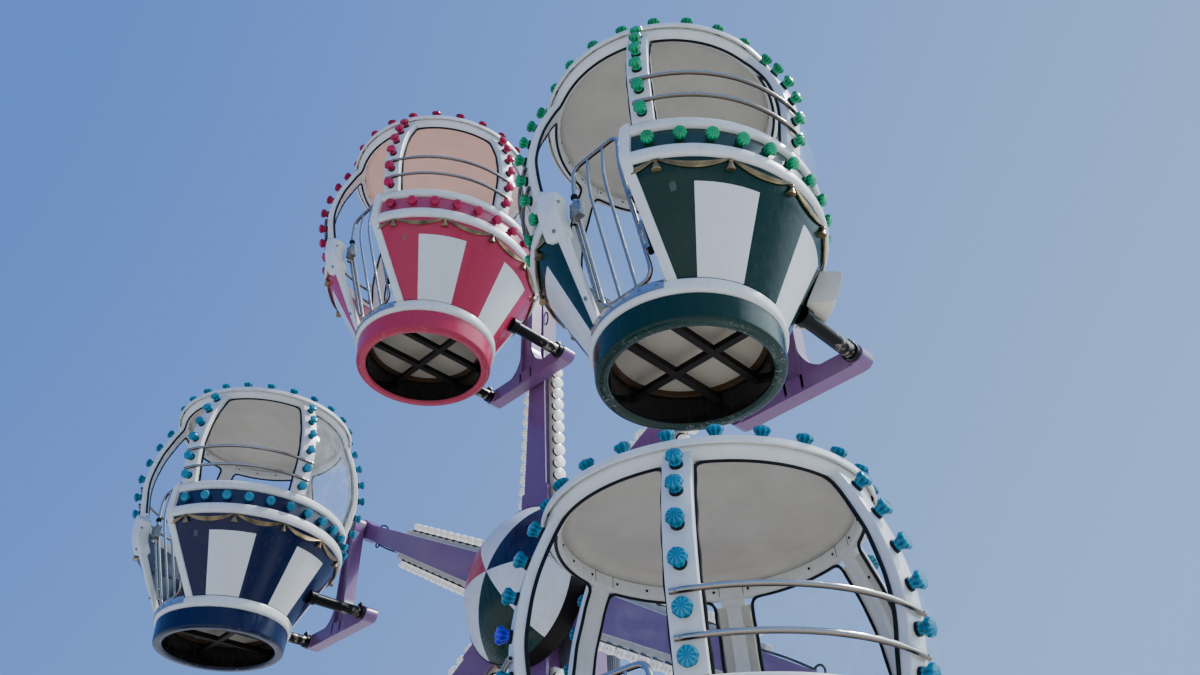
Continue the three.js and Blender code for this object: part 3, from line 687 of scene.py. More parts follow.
def finish(name):
    """A finish by name, made the first time that a piece asks for it."""
    found = bpy.data.materials.get(name)
    if found:
        return found
    scene = bpy.context.scene
    own = {key: tuple(getattr(scene.ferris_colours, key)) for key in FERRIS_PG_colours.__annotations__}
    white, pitch = own["white"], scene.ferris_cabin.stripe_pitch
    harlequin = [own["navy"], white, own["pink"], white, own["green"], white]
    recipes = {
        "white_chalked_gelcoat": (white_gelcoat, white),
        "cream_flowcoat": (flowcoat, own["cream"]),
        # Blush tint with a glow: painted light of daylight coming through the pink cabins' roofs
        "blush_flowcoat": (flowcoat, own["blush"], 0.16),
        # A darker, warmer cream for the underside panels: partly their own tone, partly painted shade of
        # the recess they sit in
        "beige_flowcoat": (flowcoat, linear("#B3A793")),
        "purple_enamel": (enamel, own["purple"]),
        "grey_enamel": (enamel, linear("#5C6066")),
        "polished_stainless": (polished_steel,),
        "zinc_plated_steel": (zinc_plate,),
        "worn_black_steel": (black_steel, 0.33),
        "black_painted_steel": (black_steel, 0.20),
        "black_rubber": (matt_black,),
        "black_socket_plastic": (matt_black,),
        "brown_plywood": (matt_black, "#2C2017", "#5C4330"),
        "road_black_enamel": (matt_black, "#080706", "#19140F"),
        # White bulbs: a paler cut shade and a stronger glow, both painted light
        "white_acrylic_lens": (lens_plastic, linear("#F6F3EA"), linear("#E2DCCB"), 0.62, 0.42),
        "ultramarine_acrylic_lens": (lens_plastic, own["odd_lamp"], linear("#0A1060")),
        "clear_polycarbonate": (clear_plastic,),
        "old_gold_paint": (old_gold, own["gold"]),
        "harlequin_gelcoat": (harlequin_gelcoat, harlequin),
        "pale_floor_paint": (floor_paint, tuple(scene.ferris_stage.floor_colour)),
    }
    for hue in COLOUR_NAMES:
        lamp = own[f"{hue}_lamp"]
        recipes[f"{hue}_gelcoat"] = (gelcoat, own[hue])
        recipes[f"{hue}_scuffed_gelcoat"] = (skirt_gelcoat, own[hue])
        recipes[f"{hue}_striped_gelcoat"] = (striped_gelcoat, own[hue], white, pitch)
        recipes[f"{hue}_acrylic_lens"] = (lens_plastic, lamp, tuple(0.4 * c for c in lamp))
    make, *values = recipes[name]
    return make(name, *values)


# The record's slot that each finish stands for, unless a piece names another one or none
SLOTS = {
    "purple_enamel": "purple_paint", "grey_enamel": "grey_paint", "polished_stainless": "chrome_tube",
    "white_chalked_gelcoat": "white_gelcoat", "harlequin_gelcoat": "white_gelcoat",
    "clear_polycarbonate": "clear_plastic",
    **{f"{hue}_{kind}": f"{hue}_gelcoat" for hue in COLOUR_NAMES
       for kind in ("gelcoat", "striped_gelcoat", "scuffed_gelcoat")},
}


def dress(name, shape, finish_name, body, nodes=(), slot=None, bevel=0.0, crease=38.0, local=None):
    """Makes a piece's mesh where it stands, gives it its finish, ties it to its body and hides the nodes it
    replaces. Its slot is looked up but not given to it.
    The attribute called place keeps the piece's own coordinates for patterns that follow it."""
    mesh = bpy.data.meshes.new(name)
    sizes = np.concatenate([np.full(len(face), face.shape[1]) for face in shape.faces])
    corners = np.concatenate([face.ravel() for face in shape.faces])
    mesh.vertices.add(len(shape.points))
    mesh.vertices.foreach_set("co", shape.points.astype(np.float32).ravel())
    mesh.loops.add(len(corners))
    mesh.loops.foreach_set("vertex_index", corners.astype(np.int32))
    mesh.polygons.add(len(sizes))
    mesh.polygons.foreach_set("loop_start", np.concatenate([[0], np.cumsum(sizes)[:-1]]).astype(np.int32))
    mesh.update(calc_edges=True)
    mesh.validate()
    if local is not None:
        place = mesh.attributes.new("place", "FLOAT_VECTOR", "POINT")
        place.data.foreach_set("vector", local.astype(np.float32).ravel())
    work = bmesh.new()
    work.from_mesh(mesh)
    bmesh.ops.remove_doubles(work, verts=work.verts, dist=1e-5)
    bmesh.ops.recalc_face_normals(work, faces=work.faces)
    work.to_mesh(mesh)
    work.free()
    mesh.polygons.foreach_set("use_smooth", np.ones(len(mesh.polygons), bool))
    mesh.set_sharp_from_angle(angle=math.radians(crease))
    mesh.materials.append(finish(finish_name))
    piece = bpy.data.objects.new(name, mesh)
    bpy.context.scene.collection.objects.link(piece)
    if bevel:
        soft = piece.modifiers.new("edges", "BEVEL")
        soft.width = bevel
        soft.segments = 2
        soft.limit_method = "ANGLE"
        soft.angle_limit = math.radians(35)
        soft.harden_normals = True
    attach(piece, body)
    if nodes:
        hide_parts(*nodes)
    slot = SLOTS.get(finish_name) if slot is None else slot


def cabin_spots(shape):
    """Azimuth in turns from -0.25 to 0.75, height and radius of each point on its cabin."""
    x, y, z = shape.points.T
    azimuth = (np.degrees(np.arctan2(y, x)) + 90) % 360 - 90
    return np.stack([azimuth / 360, z, np.hypot(x, y)], axis=1)


def dress_cabins(piece, shape, finish_name, replaced=(), part="cabin", cabins=CABIN_NUMBERS, local=None,
                 **extra):
    """The same piece on the cabins. A star in a finish stands for the cabin's colour."""
    spots = cabin_spots(shape) if local is None else local
    for k in cabins:
        hue = COLOUR_NAMES[(k - 1) % len(COLOUR_NAMES)]
        nodes = [f"cabin_{k}_{node}" for node in replaced]
        dress(f"{piece}_{k}", moved(shape, CABIN_PLACES[k]), finish_name.replace("*", hue), f"{part}_{k}",
              nodes, local=spots, **extra)


def arc_between(radius, height, count, right=0.0, left=0.0):
    """Azimuths round the tub from the gate opening's right edge to its left edge."""
    start = edge_azimuth(RIGHT_EDGE, radius, height) + right
    end = edge_azimuth(LEFT_EDGE, radius, height) - left
    return np.linspace(start, end, count)


class FERRIS_OT_tub_walls(Operator):
    """Striped outer walls, liners and benches in the cabin's gelcoat, and cream floors of the tubs"""
    bl_idname = "ferris.tub_walls"
    bl_label = "Tub Walls"

    def execute(self, context):
        # Radii are read off the tub's profile at each height, and the stripes' edge falls on a row
        heights = np.concatenate([np.linspace(0.203, 0.552, 8), np.linspace(STRIPE_TOP, 0.665, 7)])[:, None]
        radii = np.interp(heights, WALL_HEIGHTS, WALL_RADII)
        dress_cabins("tub_wall", self.skin(heights, radii, 0.0, -0.008), "*_striped_gelcoat", ("tub",))
        heights = np.linspace(FLOOR_TOP - 0.02, 0.872, 16)[:, None]
        radii = np.interp(heights, LINER_HEIGHTS, LINER_RADII)
        over_cover = 8.5 * (heights > 0.77)
        dress_cabins("tub_liner", self.skin(heights, radii, 0.012, 0.0, over_cover), "*_gelcoat")
        under, edge = PANEL_HEIGHT + 0.007, 0.405
        floor = band([(0, under), (edge, under), (edge, FLOOR_TOP), (0, FLOOR_TOP)])
        dress_cabins("tub_floor", floor, "cream_flowcoat")
        self.bench()
        return {"FINISHED"}

    def skin(self, heights, radii, outside, inside, cut=0.0):
        """A wall between two offsets from its radii. It ends a little clear of the edges of the gate
        opening, and is cut back further from the left one by some degrees."""
        gap = 0.5
        start = edge_azimuth(RIGHT_EDGE, radii, heights) + gap
        end = edge_azimuth(LEFT_EDGE, radii, heights) - gap - cut
        azimuths = start + np.linspace(0, 1, 221)[None, :] * (end - start)
        return shell(around(radii + outside, azimuths, heights), around(radii + inside, azimuths, heights))

    def bench(self):
        """A horseshoe seat: its front is a circle that straightens along both sides of the way in, where
        the radius is the half width over the cosine of the azimuth, and its back follows the wall."""
        count, half_way, circle, seat_height = 122, 0.27, 0.30, 0.520
        wall_foot, wall_seat = 0.418, 0.580
        azimuths = np.linspace(-61.5, 241.5, count)
        straight = half_way / np.abs(np.cos(np.radians(azimuths)) + 1e-9)
        front = np.where((azimuths < 0) | (azimuths > 180), np.maximum(circle, straight), circle)
        radii = np.stack([
            np.minimum(front, wall_foot - 0.006), np.minimum(front, wall_seat - 0.010),
            np.full(count, wall_seat), np.full(count, wall_foot)], axis=1)
        heights = np.broadcast_to((FLOOR_TOP, seat_height, seat_height, FLOOR_TOP), radii.shape)
        section = rounded(np.stack([radii, heights], axis=-1), (0.003, 0.03, 0.003, 0.003))
        seat = sweep(around(section[..., 0], azimuths[:, None], section[..., 1]))
        dress_cabins("bench", seat, "*_gelcoat")


class FERRIS_OT_tub_rings(Operator):
    """Skirts, rims, half-round rings and lamp bands round the tubs"""
    bl_idname = "ferris.tub_rings"
    bl_label = "Tub Rings"

    def execute(self, context):
        skirt = rounded(
            [(SKIRT_INSIDE, PANEL_HEIGHT + 0.004), (SKIRT_INSIDE, 0.0), (0.413, 0.0), (0.4215, 0.128),
             (0.400, 0.140), (0.370, PANEL_HEIGHT + 0.004)],
            (0.0, 0.022, 0.022, 0.0, 0.0, 0.0), 6)
        dress_cabins("skirt", band(skirt, sides=144), "*_scuffed_gelcoat")
        rim = rounded([(0.395, 0.131), (0.439, 0.131), (0.439, 0.204), (0.395, 0.204)],
                      (0.0, 0.028, 0.028, 0.0), 6)
        dress_cabins("rim", band(rim, sides=144), "white_chalked_gelcoat")
        lower = rounded([(0.665, 0.657), (0.702, 0.657), (0.702, 0.727), (0.665, 0.727)],
                        (0.0, 0.030, 0.030, 0.0), 6)
        lower_ring = band(lower, arc_between(0.70, 0.69, 181, 2.8, 4.0))
        upper = rounded([(0.648, 0.830), (0.7065, 0.830), (0.7065, RING_TOP), (0.648, RING_TOP)],
                        (0.0, 0.020, 0.022, 0.016), 6)
        upper_ring = band(upper, arc_between(0.70, 0.86, 181, 2.8, 10.0))
        dress_cabins("half_round_rings", joined([lower_ring, upper_ring]), "white_chalked_gelcoat")
        strip = [(0.672, 0.715), (BAND_RADIUS, 0.715), (BAND_RADIUS, 0.842), (0.672, 0.842)]
        dress_cabins("lamp_band", band(strip, arc_between(0.70, 0.78, 181, 1.0, 9.0)), "*_gelcoat")
        return {"FINISHED"}


class FERRIS_OT_underside(Operator):
    """Panels and black steel cross frames inside the skirts"""
    bl_idname = "ferris.underside"
    bl_label = "Underside"

    def execute(self, context):
        under = PANEL_HEIGHT
        panel = band([(0, under), (SKIRT_INSIDE + 0.008, under), (SKIRT_INSIDE + 0.008, under + 0.006),
                      (0, under + 0.006)], sides=96)
        # The beige is partly the panel's own tone and partly painted shade of the recess inside the skirt
        dress_cabins("underside_panel", panel, "beige_flowcoat")
        edging = band([(0.334, under - 0.024), (0.3515, under - 0.024), (0.3515, under - 0.001),
                       (0.334, under - 0.001)], sides=96)
        dress_cabins("underside_edging", edging, "brown_plywood")
        # A beam reaches to the skirt: the root of its radius² less the beam's own distance²
        half, low, high = 0.018, 0.098, 0.132
        beams = []
        for x in (-0.108, 0.108):
            reach = math.sqrt(SKIRT_INSIDE ** 2 - x ** 2) + 0.004
            beams.append(box(x - half, x + half, -reach, reach, low, high))
        reach = math.sqrt(SKIRT_INSIDE ** 2 - 0.035 ** 2) + 0.004
        beams.append(box(-reach, reach, 0.035 - half, 0.035 + half, low + 0.002, high - 0.002))
        dress_cabins("underside_frame", joined(beams), "road_black_enamel", bevel=0.003)
        return {"FINISHED"}


class FERRIS_OT_gate_posts(Operator):
    """White posts, latch shoulders and steel sills round the gate openings"""
    bl_idname = "ferris.gate_posts"
    bl_label = "Gate Posts"

    def execute(self, context):
        heights = np.concatenate([np.linspace(0.196, 0.85, 24), np.linspace(0.86, RING_TOP, 9)])
        dress_cabins("right_post", self.post(heights, RIGHT_EDGE, 0.052), "white_chalked_gelcoat")
        dress_cabins("left_post", self.shoulder(), "white_chalked_gelcoat")
        self.sill()
        return {"FINISHED"}

    def post(self, heights, edge, width):
        """A rounded upright: at each height, two corners on the plane of the jamb and two across its
        width. Its top is rounded off by radius minus the root of radius² - rise² from the jamb's side."""
        turn = 0.030
        rise = np.clip(heights - (RING_TOP - turn), 0, turn)
        inset = np.degrees((turn - np.sqrt(np.maximum(turn ** 2 - rise ** 2, 0.0))) / 0.7)
        outer = np.interp(heights, POST_HEIGHTS, POST_RADII)
        inner = np.interp(heights, LINER_HEIGHTS, LINER_RADII) - 0.004
        near_out = edge_azimuth(edge, outer, heights)
        near_in = edge_azimuth(edge, inner, heights)
        far = near_out + np.degrees(width / outer)
        corners = np.stack([
            around(outer, near_out + inset, heights), around(outer, far, heights),
            around(inner, far, heights), around(inner, near_in + inset, heights)], axis=1)
        return sweep(rounded(corners, 0.013, 4))

    def shoulder(self):
        """The left upright, and on it a flat latch cover: its near side is drawn in beside the gate, its
        far side stands higher, and its top is rounded by radius minus the root of radius² - rise²."""
        top, turn, foot, flare = 0.790, 0.022, 0.548, 0.035
        post_width, cover_width, nearer = 0.050, 0.112, 0.9
        drawn_in, back_in, stands_off, lift = 0.036, 0.026, 0.016, 0.065
        heights = np.concatenate([
            np.linspace(0.196, foot - 0.002, 14), np.linspace(foot + 0.002, foot + flare + 0.002, 8),
            np.linspace(0.60, top - turn, 7),
            top - turn + turn * np.sin(np.linspace(0.12, 1, 9) * np.pi / 2)])
        swell = np.clip((heights - foot) / flare, 0, 1)
        swell = swell * swell * (3 - 2 * swell)
        rise = np.clip(heights - (top - turn), 0, turn)
        inset = turn - np.sqrt(np.maximum(turn ** 2 - rise ** 2, 0.0))
        outer = np.interp(heights, POST_HEIGHTS, POST_RADII) - 0.6 * inset
        inner = np.interp(heights, LINER_HEIGHTS, LINER_RADII) - 0.004 + 0.4 * inset
        degrees = np.degrees(inset / 0.7)
        out = np.maximum(outer - drawn_in * swell, np.interp(heights, WALL_HEIGHTS, WALL_RADII) + 0.009)
        back = inner - back_in * swell
        near_out = edge_azimuth(LEFT_EDGE, out, heights) + nearer * swell - degrees
        near_in = edge_azimuth(LEFT_EDGE, back, heights) + nearer * swell - degrees
        width = post_width + (cover_width - post_width) * swell
        far = edge_azimuth(LEFT_EDGE, outer, heights) - np.degrees(width / outer) + degrees
        lifted = heights + lift * np.clip((heights - 0.6) / (top - 0.6), 0, 1)
        corners = np.stack([
            around(out, near_out, heights), around(outer + stands_off * swell, far, lifted),
            around(inner, far, lifted), around(back, near_in, heights)], axis=1)
        return sweep(rounded(corners, 0.012, 5))

    def sill(self):
        """Bent stainless sheet over the rim, with six screws in its upright face."""
        line = [(0.378, 0.2045), (0.436, 0.2045), (0.4405, 0.196), (0.4405, 0.158), (0.4425, 0.158),
                (0.4425, 0.200), (0.438, 0.2070), (0.378, 0.2070)]
        sheet = band(line, np.linspace(-119.5, -62, 40))
        dress_cabins("sill_plate", sheet, "polished_stainless")
        turns = np.linspace(-116, -66, 6)
        heads = bolts(around(0.4425, turns, 0.180), around(1.0, turns, 0.0), 0.010, 0.004)
        bigger = bolts([(-0.148, -0.668, 0.727), (-0.180, -0.636, 0.590), (-0.161, -0.4685, 0.285)],
                       (0.2, -1.0, 0.0), 0.016, 0.008)
        keeper = rod((-0.148, -0.672, 0.727), (-0.120, -0.660, 0.718), 0.007, 12)
        dress_cabins("post_screws", joined([heads, bigger, keeper]), "zinc_plated_steel")


class FERRIS_OT_swags(Operator):
    """Moulded swags and tassels under the lower rings"""
    bl_idname = "ferris.swags"
    bl_label = "Swags"

    def execute(self, context):
        sizes = context.scene.ferris_cabin
        pitch = math.degrees(sizes.stripe_pitch)
        tassels = -57.2 + pitch * np.arange(-1, 13)
        t = np.linspace(0, 1, 22)
        # The posts cut the first and the last swag short
        left_over = 0.34
        ends = {0: 1 - (1 - t) * left_over, len(tassels) - 2: t * left_over}
        folds = []
        for i, start in enumerate(tassels[:-1]):
            part = ends.get(i, t)
            azimuth = start + 0.5 + part * (pitch - 1.0)
            # At a share s of its way a fold hangs by its drop times 4s(1-s), and swells by sin(πs)
            for fold in range(3):
                drop = sizes.swag_drop * (0.72 + 0.20 * fold) * 4 * part * (1 - part)
                height = 0.654 - 0.002 * fold - drop
                radius = np.interp(height, WALL_HEIGHTS, WALL_RADII) + 0.006 + 0.002 * fold
                thick = 0.0034 + 0.0024 * np.sin(np.pi * part)
                folds.append(tube(around(radius, azimuth, height), thick, 8))
        dress_cabins("swags", joined(folds), "old_gold_paint")
        # A bell with a knob, turned about its own line, leans out with the wall
        bell = band([(0, 0.048), (0.007, 0.047), (0.010, 0.040), (0.007, 0.034), (0.012, 0.026),
                     (0.017, 0.012), (0.0225, 0.002), (0.021, 0.0), (0, 0.0)], sides=16)
        hung = tassels[1:-1]
        height = 0.604
        radius = float(np.interp(height, WALL_HEIGHTS, WALL_RADII)) + 0.014
        outward = around(1.0, hung, 0.0)
        upright = np.stack([outward[:, 0] * 0.40, outward[:, 1] * 0.40, np.full(len(hung), 1.0)], axis=1)
        bells = placed(bell, around(radius, hung, height), facing(upright, (1.0, 0.0, 0.0)))
        dress_cabins("tassels", bells, "old_gold_paint")
        return {"FINISHED"}


class FERRIS_OT_lighting_boxes(Operator):
    """Rounded boxes for the lighting gear behind the tubs that carry one"""
    bl_idname = "ferris.lighting_boxes"
    bl_label = "Lighting Boxes"

    def execute(self, context):
        (low, low_out), (high, high_out) = (0.415, 0.700), (0.605, 0.766)
        section = rounded([(0.565, low), (low_out, low), (high_out, high), (0.655, high)],
                          (0.004, 0.035, 0.040, 0.004), 6)
        cover = band(section, np.linspace(44, 63, 20))
        dress_cabins("lighting_box", cover, "cream_flowcoat", slot="white_gelcoat", cabins=BOX_CABINS,
                     bevel=0.010)
        turns, heights = (part.ravel() for part in np.meshgrid((46.5, 60.5), (0.46, 0.56)))
        radii = np.interp(heights, (low, high), (low_out, high_out))
        screws = bolts(around(radii, turns, heights), around(1.0, turns, -0.3), 0.010, 0.004)
        dress_cabins("lighting_box_screws", screws, "zinc_plated_steel", cabins=BOX_CABINS)
        return {"FINISHED"}


class FERRIS_OT_canopy(Operator):
    """Ribs, roof rings, roofs and the grab bars across the open bays"""
    bl_idname = "ferris.canopy"
    bl_label = "Canopy"

    def execute(self, context):
        sizes = context.scene.ferris_cabin
        half = RIB_WIDTH / 2
        # The outer face of a rib is crowned by 4 mm times one minus the square of its share of the half
        # width
        section = rounded([(-half, 0.0), (half, 0.0), (half, -RIB_DEPTH), (-half, -RIB_DEPTH)], 0.006, 3)
        section[:, 1] += 0.004 * (1 - (section[:, 0] / half) ** 2) * (section[:, 1] > -0.012)
        ribs = joined([turned(self.rib(section, RIB_TOP), azimuth) for azimuth in RIB_AZIMUTHS])
        dress_cabins("ribs", ribs, "white_chalked_gelcoat", ("right_frame", "left_frame"))
        inside = (0.0, -RIB_DEPTH)
        batten = np.array([(-0.034, 0.004), (-0.027, -0.022), (0.027, -0.022), (0.034, 0.004)]) + inside
        strip = np.array([(0.032, 0.006), (0.032, -0.003), (0.066, -0.003), (0.070, 0.010), (0.074, 0.010),
                          (0.074, 0.016)]) + inside
        for name, parts, look in (("window_battens", [batten], "white_chalked_gelcoat"),
                                  ("window_frames", [strip * (-1, 1), strip], "cream_flowcoat")):
            lined = [turned(self.rib(part, 0.94), azimuth) for part in parts for azimuth in REAR_RIBS]
            dress_cabins(name, joined(lined), look, slot="", crease=25.0)
        ring = rounded([(0.560, 1.640), (0.585, 1.627), (0.606, 1.643), (0.617, 1.664), (0.617, RING_SEAT),
                        (0.560, RING_SEAT)], (0.008, 0.010, 0.010, 0.008, 0.001, 0.001), 3)
        dress_cabins("roof_ring", band(ring, sides=144), "white_chalked_gelcoat")
        self.roof()
        self.fixings()
        self.grab_bars(sizes.bar_diameter / 2)
        return {"FINISHED"}

    def rib(self, section, top):
        """A section carried up the rib curve at azimuth 0: its first value lies round the cabin and its
        second along the curve's outward normal."""
        line = rib_line(40, high=top)
        slope = unit(np.gradient(line, axis=0))
        normal = np.stack([slope[:, 1], -slope[:, 0]], axis=1)
        flat = line[:, None] + section[None, :, 1:] * normal[:, None]
        sideways = np.broadcast_to(section[:, 0], flat.shape[:2])
        return sweep(np.stack([flat[..., 0], sideways, flat[..., 1]], axis=-1))

    def roof(self):
        """The domed roof, which falls with its share of the radius to the power 2.3, and a lining that
        falls to a step and a flat flange along the ring."""
        t = np.linspace(0, 1, 17)
        top = np.stack([0.618 * t, 1.80 - 0.104 * t ** 2.3], axis=1)
        under = smooth([(0.0, 1.7540), (0.20, 1.7505), (0.38, 1.7400), (0.485, 1.7265), (0.508, 1.7190),
                        (0.522, 1.7030), (0.534, 1.6950), (0.5615, 1.6940)], 45)
        hidden = under[::-1] + (0.0, 0.002)
        lip = [(0.630, 1.6965), (0.6370, 1.6925), (0.6380, 1.6695), (0.6350, 1.6670), (0.6280, 1.6670),
               (0.6280, 1.6912)]
        roof = band(np.concatenate([top, lip, hidden]), sides=144)
        dress_cabins("roof", roof, "white_chalked_gelcoat", ("roof",))
        lining = band(np.concatenate([under + (0.0, 0.001), (under - (0.0, 0.002))[::-1]]), sides=144)
        # The pink cabins' linings are blush with a glow: painted light of daylight coming through their
        # roofs
        for hues, finish_name in (((1, 3, 4, 6), "cream_flowcoat"), ((2, 5), "blush_flowcoat")):
            dress_cabins("roof_lining", lining, finish_name, cabins=hues, crease=60.0)

    def fixings(self):
        """Screws round the inside of the roof ring, its butt joints beside the ribs, and rib screws."""
        turns = np.arange(24) * 15 + 7.5
        screws = [bolts(around(0.560, turns, 1.664), -around(1.0, turns, 0.0), 0.009, 0.004)]
        line = rib_line(200, RIB_DEPTH + 0.001)
        azimuths = (np.array(REAR_RIBS, float)[:, None] + (-4.1, 4.1)).ravel()
        inward = -around(1.0, azimuths, 0.0)
        for share in (0.25, 0.55, 0.82):
            radius, height = line[int(share * 199)]
            screws.append(bolts(around(radius, azimuths, height), inward, 0.010, 0.004))
        dress_cabins("lining_screws", joined(screws), "black_painted_steel")
        azimuths = (np.array(RIB_AZIMUTHS)[:, None] + (-5.2, 5.2)).ravel()
        seam = moved(box(-0.001, 0.0006, -0.0012, 0.0012, 1.6415, 1.6905), (0.560, 0, 0))
        dress_cabins("ring_joints", joined([turned(seam, azimuth) for azimuth in azimuths]), "black_rubber")

    def grab_bars(self, radius):
        """Bars across both open bays, bowed outwards by half a sine wave and bolted flat on the faces
        of their ribs, with open dark ends."""
        bars, heads, plugs = [], [], []
        line = rib_line(400)
        for height in (0.985, 1.115):
            out = float(np.interp(height, line[:, 1], line[:, 0])) + radius + 0.002
            for start, end in ((-62.8, 3.0), (177.0, 242.8)):
                azimuth = np.linspace(start, end, 40)
                bow = 0.010 * np.sin(np.linspace(0, np.pi, 40))
                path = around(out + bow, azimuth, height)
                bars.append(tube(path, radius, 12))
                for tip, back in ((path[0], path[1]), (path[-1], path[-2])):
                    away = unit(tip - back)
                    plugs.append(rod(tip - 0.004 * away, tip + 0.0006 * away, radius * 0.72, 12, 0.0002))
                at = np.array([start + 1.4, end - 1.4])
                seats = around(out + radius * 0.8, at, height)
                heads.append(bolts(seats, around(1.0, at, 0.0), 0.009, 0.005))
        dress_cabins("grab_bars", joined(bars), "polished_stainless")
        dress_cabins("grab_bar_bolts", joined(heads), "zinc_plated_steel")
        dress_cabins("grab_bar_ends", joined(plugs), "black_rubber")


class FERRIS_OT_glazing(Operator):
    """Clear rear panes and the black edging of every bay"""
    bl_idname = "ferris.glazing"
    bl_label = "Glazing"

    def execute(self, context):
        # Panes follow the ribs' curve, moved in along its normal, in 60 degrees less a clear edge
        sizes = context.scene.ferris_cabin
        thick = sizes.pane_thickness
        inset = 0.025
        outer_line = rib_line(26, inset, high=RIB_TOP)
        inner_line = rib_line(26, inset + thick, high=RIB_TOP)
        clear = 2.4
        panes = []
        for start in (0, 60, 120):
            azimuths = np.linspace(start + clear, start + 60 - clear, 26)[None, :]
            outer = around(outer_line[:, :1], azimuths, outer_line[:, 1:])
            inner = around(inner_line[:, :1], azimuths, inner_line[:, 1:])
            panes.append(shell(outer, inner))
        dress_cabins("rear_panes", joined(panes), "clear_polycarbonate", ("rear_windows",))
        self.gaskets(sizes.gasket_diameter / 2)
        return {"FINISHED"}

    def gaskets(self, radius):
        """Up the edge of one rib of each bay, along under the roof ring and down the next rib: corners
        rounded in shares of the bay's width and distance along the ribs, with a faint wobble from one
        sine wave in each."""
        line = rib_line(300, RIB_DEPTH - 0.004)
        share = np.linspace(0, 1, 300)
        width, top = 0.53, 0.970
        corners = [(0.0, 0.0), (0.0, top), (width, top), (width, 0.0)]
        outline = rounded(corners, (0.0, 0.045, 0.045, 0.0), 6)[6:-6]
        path = read_along(outline, np.linspace(0, 1, 110))
        out = np.interp(path[:, 1], share, line[:, 0])
        height = np.interp(path[:, 1], share, line[:, 1])
        wobble = 0.12 * np.sin(path[:, 1] * 31) + 0.10 * np.sin(path[:, 0] * 23)
        loops = []
        for start in RIB_AZIMUTHS:
            first, last = (np.degrees((0.079 if rib in REAR_RIBS else RIB_WIDTH / 2 + 0.003) / out)
                           for rib in (start, start + 60))
            azimuth = first + path[:, 0] / width * (60 - first - last) + wobble
            loops.append(turned(tube(around(out, azimuth, height), radius, 8, up=(0.6, 0.35, 0.02)), start))
        dress_cabins("gaskets", joined(loops), "black_rubber")


class FERRIS_OT_lamps(Operator):
    """Lens caps and sockets in the lamp bands, on the ribs and round the roofs"""
    bl_idname = "ferris.lamps"
    bl_label = "Lamps"

    def execute(self, context):
        sizes = context.scene.ferris_cabin
        radius = sizes.lamp_diameter / 2
        cap, socket = lamp_cap(radius), lamp_socket(radius)
        for k in CABIN_NUMBERS:
            seats, out, odd = self.seats(k, sizes)
            axes = facing(out)
            for chosen, name, colour in ((~odd, "lens_caps", "*_acrylic_lens"),
                                         (odd, "odd_lens_cap", "ultramarine_acrylic_lens")):
                if chosen.any():
                    caps = placed(cap, seats[chosen] + unit(out[chosen]) * SOCKET_HEIGHT, axes[chosen])
                    own = np.tile(cap.points / radius, (int(chosen.sum()), 1))
                    dress_cabins(name, caps, colour, cabins=(k,), local=own, crease=24.0)
            dress_cabins("lamp_sockets", placed(socket, seats, axes), "black_socket_plastic", cabins=(k,))
        return {"FINISHED"}

    def seats(self, cabin, sizes):
        """Where the lamps of a cabin stand, which way they point, and which of them is the odd one:
        round the band, up the ribs, and round the roof's edge."""
        band_turns = np.linspace(-59.0, 243.0, sizes.band_lamps)
        roof_turns = ROOF_LAMP_STARTS[cabin] + np.arange(sizes.roof_lamps) * 360 / sizes.roof_lamps
        line = rib_line(400)
        slope = unit(np.gradient(line, axis=0))
        at = np.searchsorted(line[:, 1], RIB_LAMP_HEIGHTS)
        rib_turns, index = (part.ravel() for part in np.meshgrid(RIB_AZIMUTHS, at, indexing="ij"))
        seats = np.concatenate([
            around(BAND_RADIUS - 0.004, band_turns, 0.785),
            around(line[index, 0] + 0.003, rib_turns, line[index, 1]), around(0.602, roof_turns, 1.694)])
        out = np.concatenate([
            around(1.0, band_turns, -0.42), around(slope[index, 1], rib_turns, -slope[index, 0]),
            around(1.0, roof_turns, 1.6)])
        odd = np.zeros(len(seats), bool)
        if cabin == ODD_CAP["cabin"]:
            rib, rung = RIB_AZIMUTHS.index(ODD_CAP["azimuth"]), RIB_LAMP_HEIGHTS.index(ODD_CAP["height"])
            odd[len(band_turns) + rib * len(at) + rung] = True
        return seats, out, odd


SOCKET_HEIGHT = 0.009
# A lens cap's outline and the depth of its cuts there, in shares of its radius
CAP_LINE = ((0.0, 0.0), (0.64, 0.0), (0.68, 0.34), (1.0, 0.84), (0.84, 1.24), (0.0, 1.50))
CAP_CUTS = (0, 0.07, 0.07, 0.05, 0.06, 0)
CAP_FLUTES = 7


def lamp_cap(radius, length=1.0):
    """A cut-glass lens cap along +Z: rings of fourteen points whose every other point is drawn in, from
    a short neck out to the widest ring and over the domed front."""
    rings = np.array(CAP_LINE) * (radius, radius * length)
    step = np.arange(CAP_FLUTES * 2)
    flute = 1 - np.array(CAP_CUTS)[:, None] * (step % 2)
    points = around(rings[:, :1] * flute, step[None, :] * 180 / CAP_FLUTES, rings[:, 1:])
    number = np.arange(points.shape[0] * len(step)).reshape(-1, len(step))
    return shape_of(points, [quads(np.hstack([number, number[:, :1]]))])


def lamp_socket(radius):
    """A short dark ring along +Z under a lens cap, which goes a little way up inside its neck."""
    wide, neck, top = 0.72 * radius, 0.60 * radius, SOCKET_HEIGHT + 0.003
    return band([(0, -0.004), (wide, -0.004), (wide, SOCKET_HEIGHT - 0.001), (neck, SOCKET_HEIGHT),
                 (neck, top), (0, top)], sides=12)


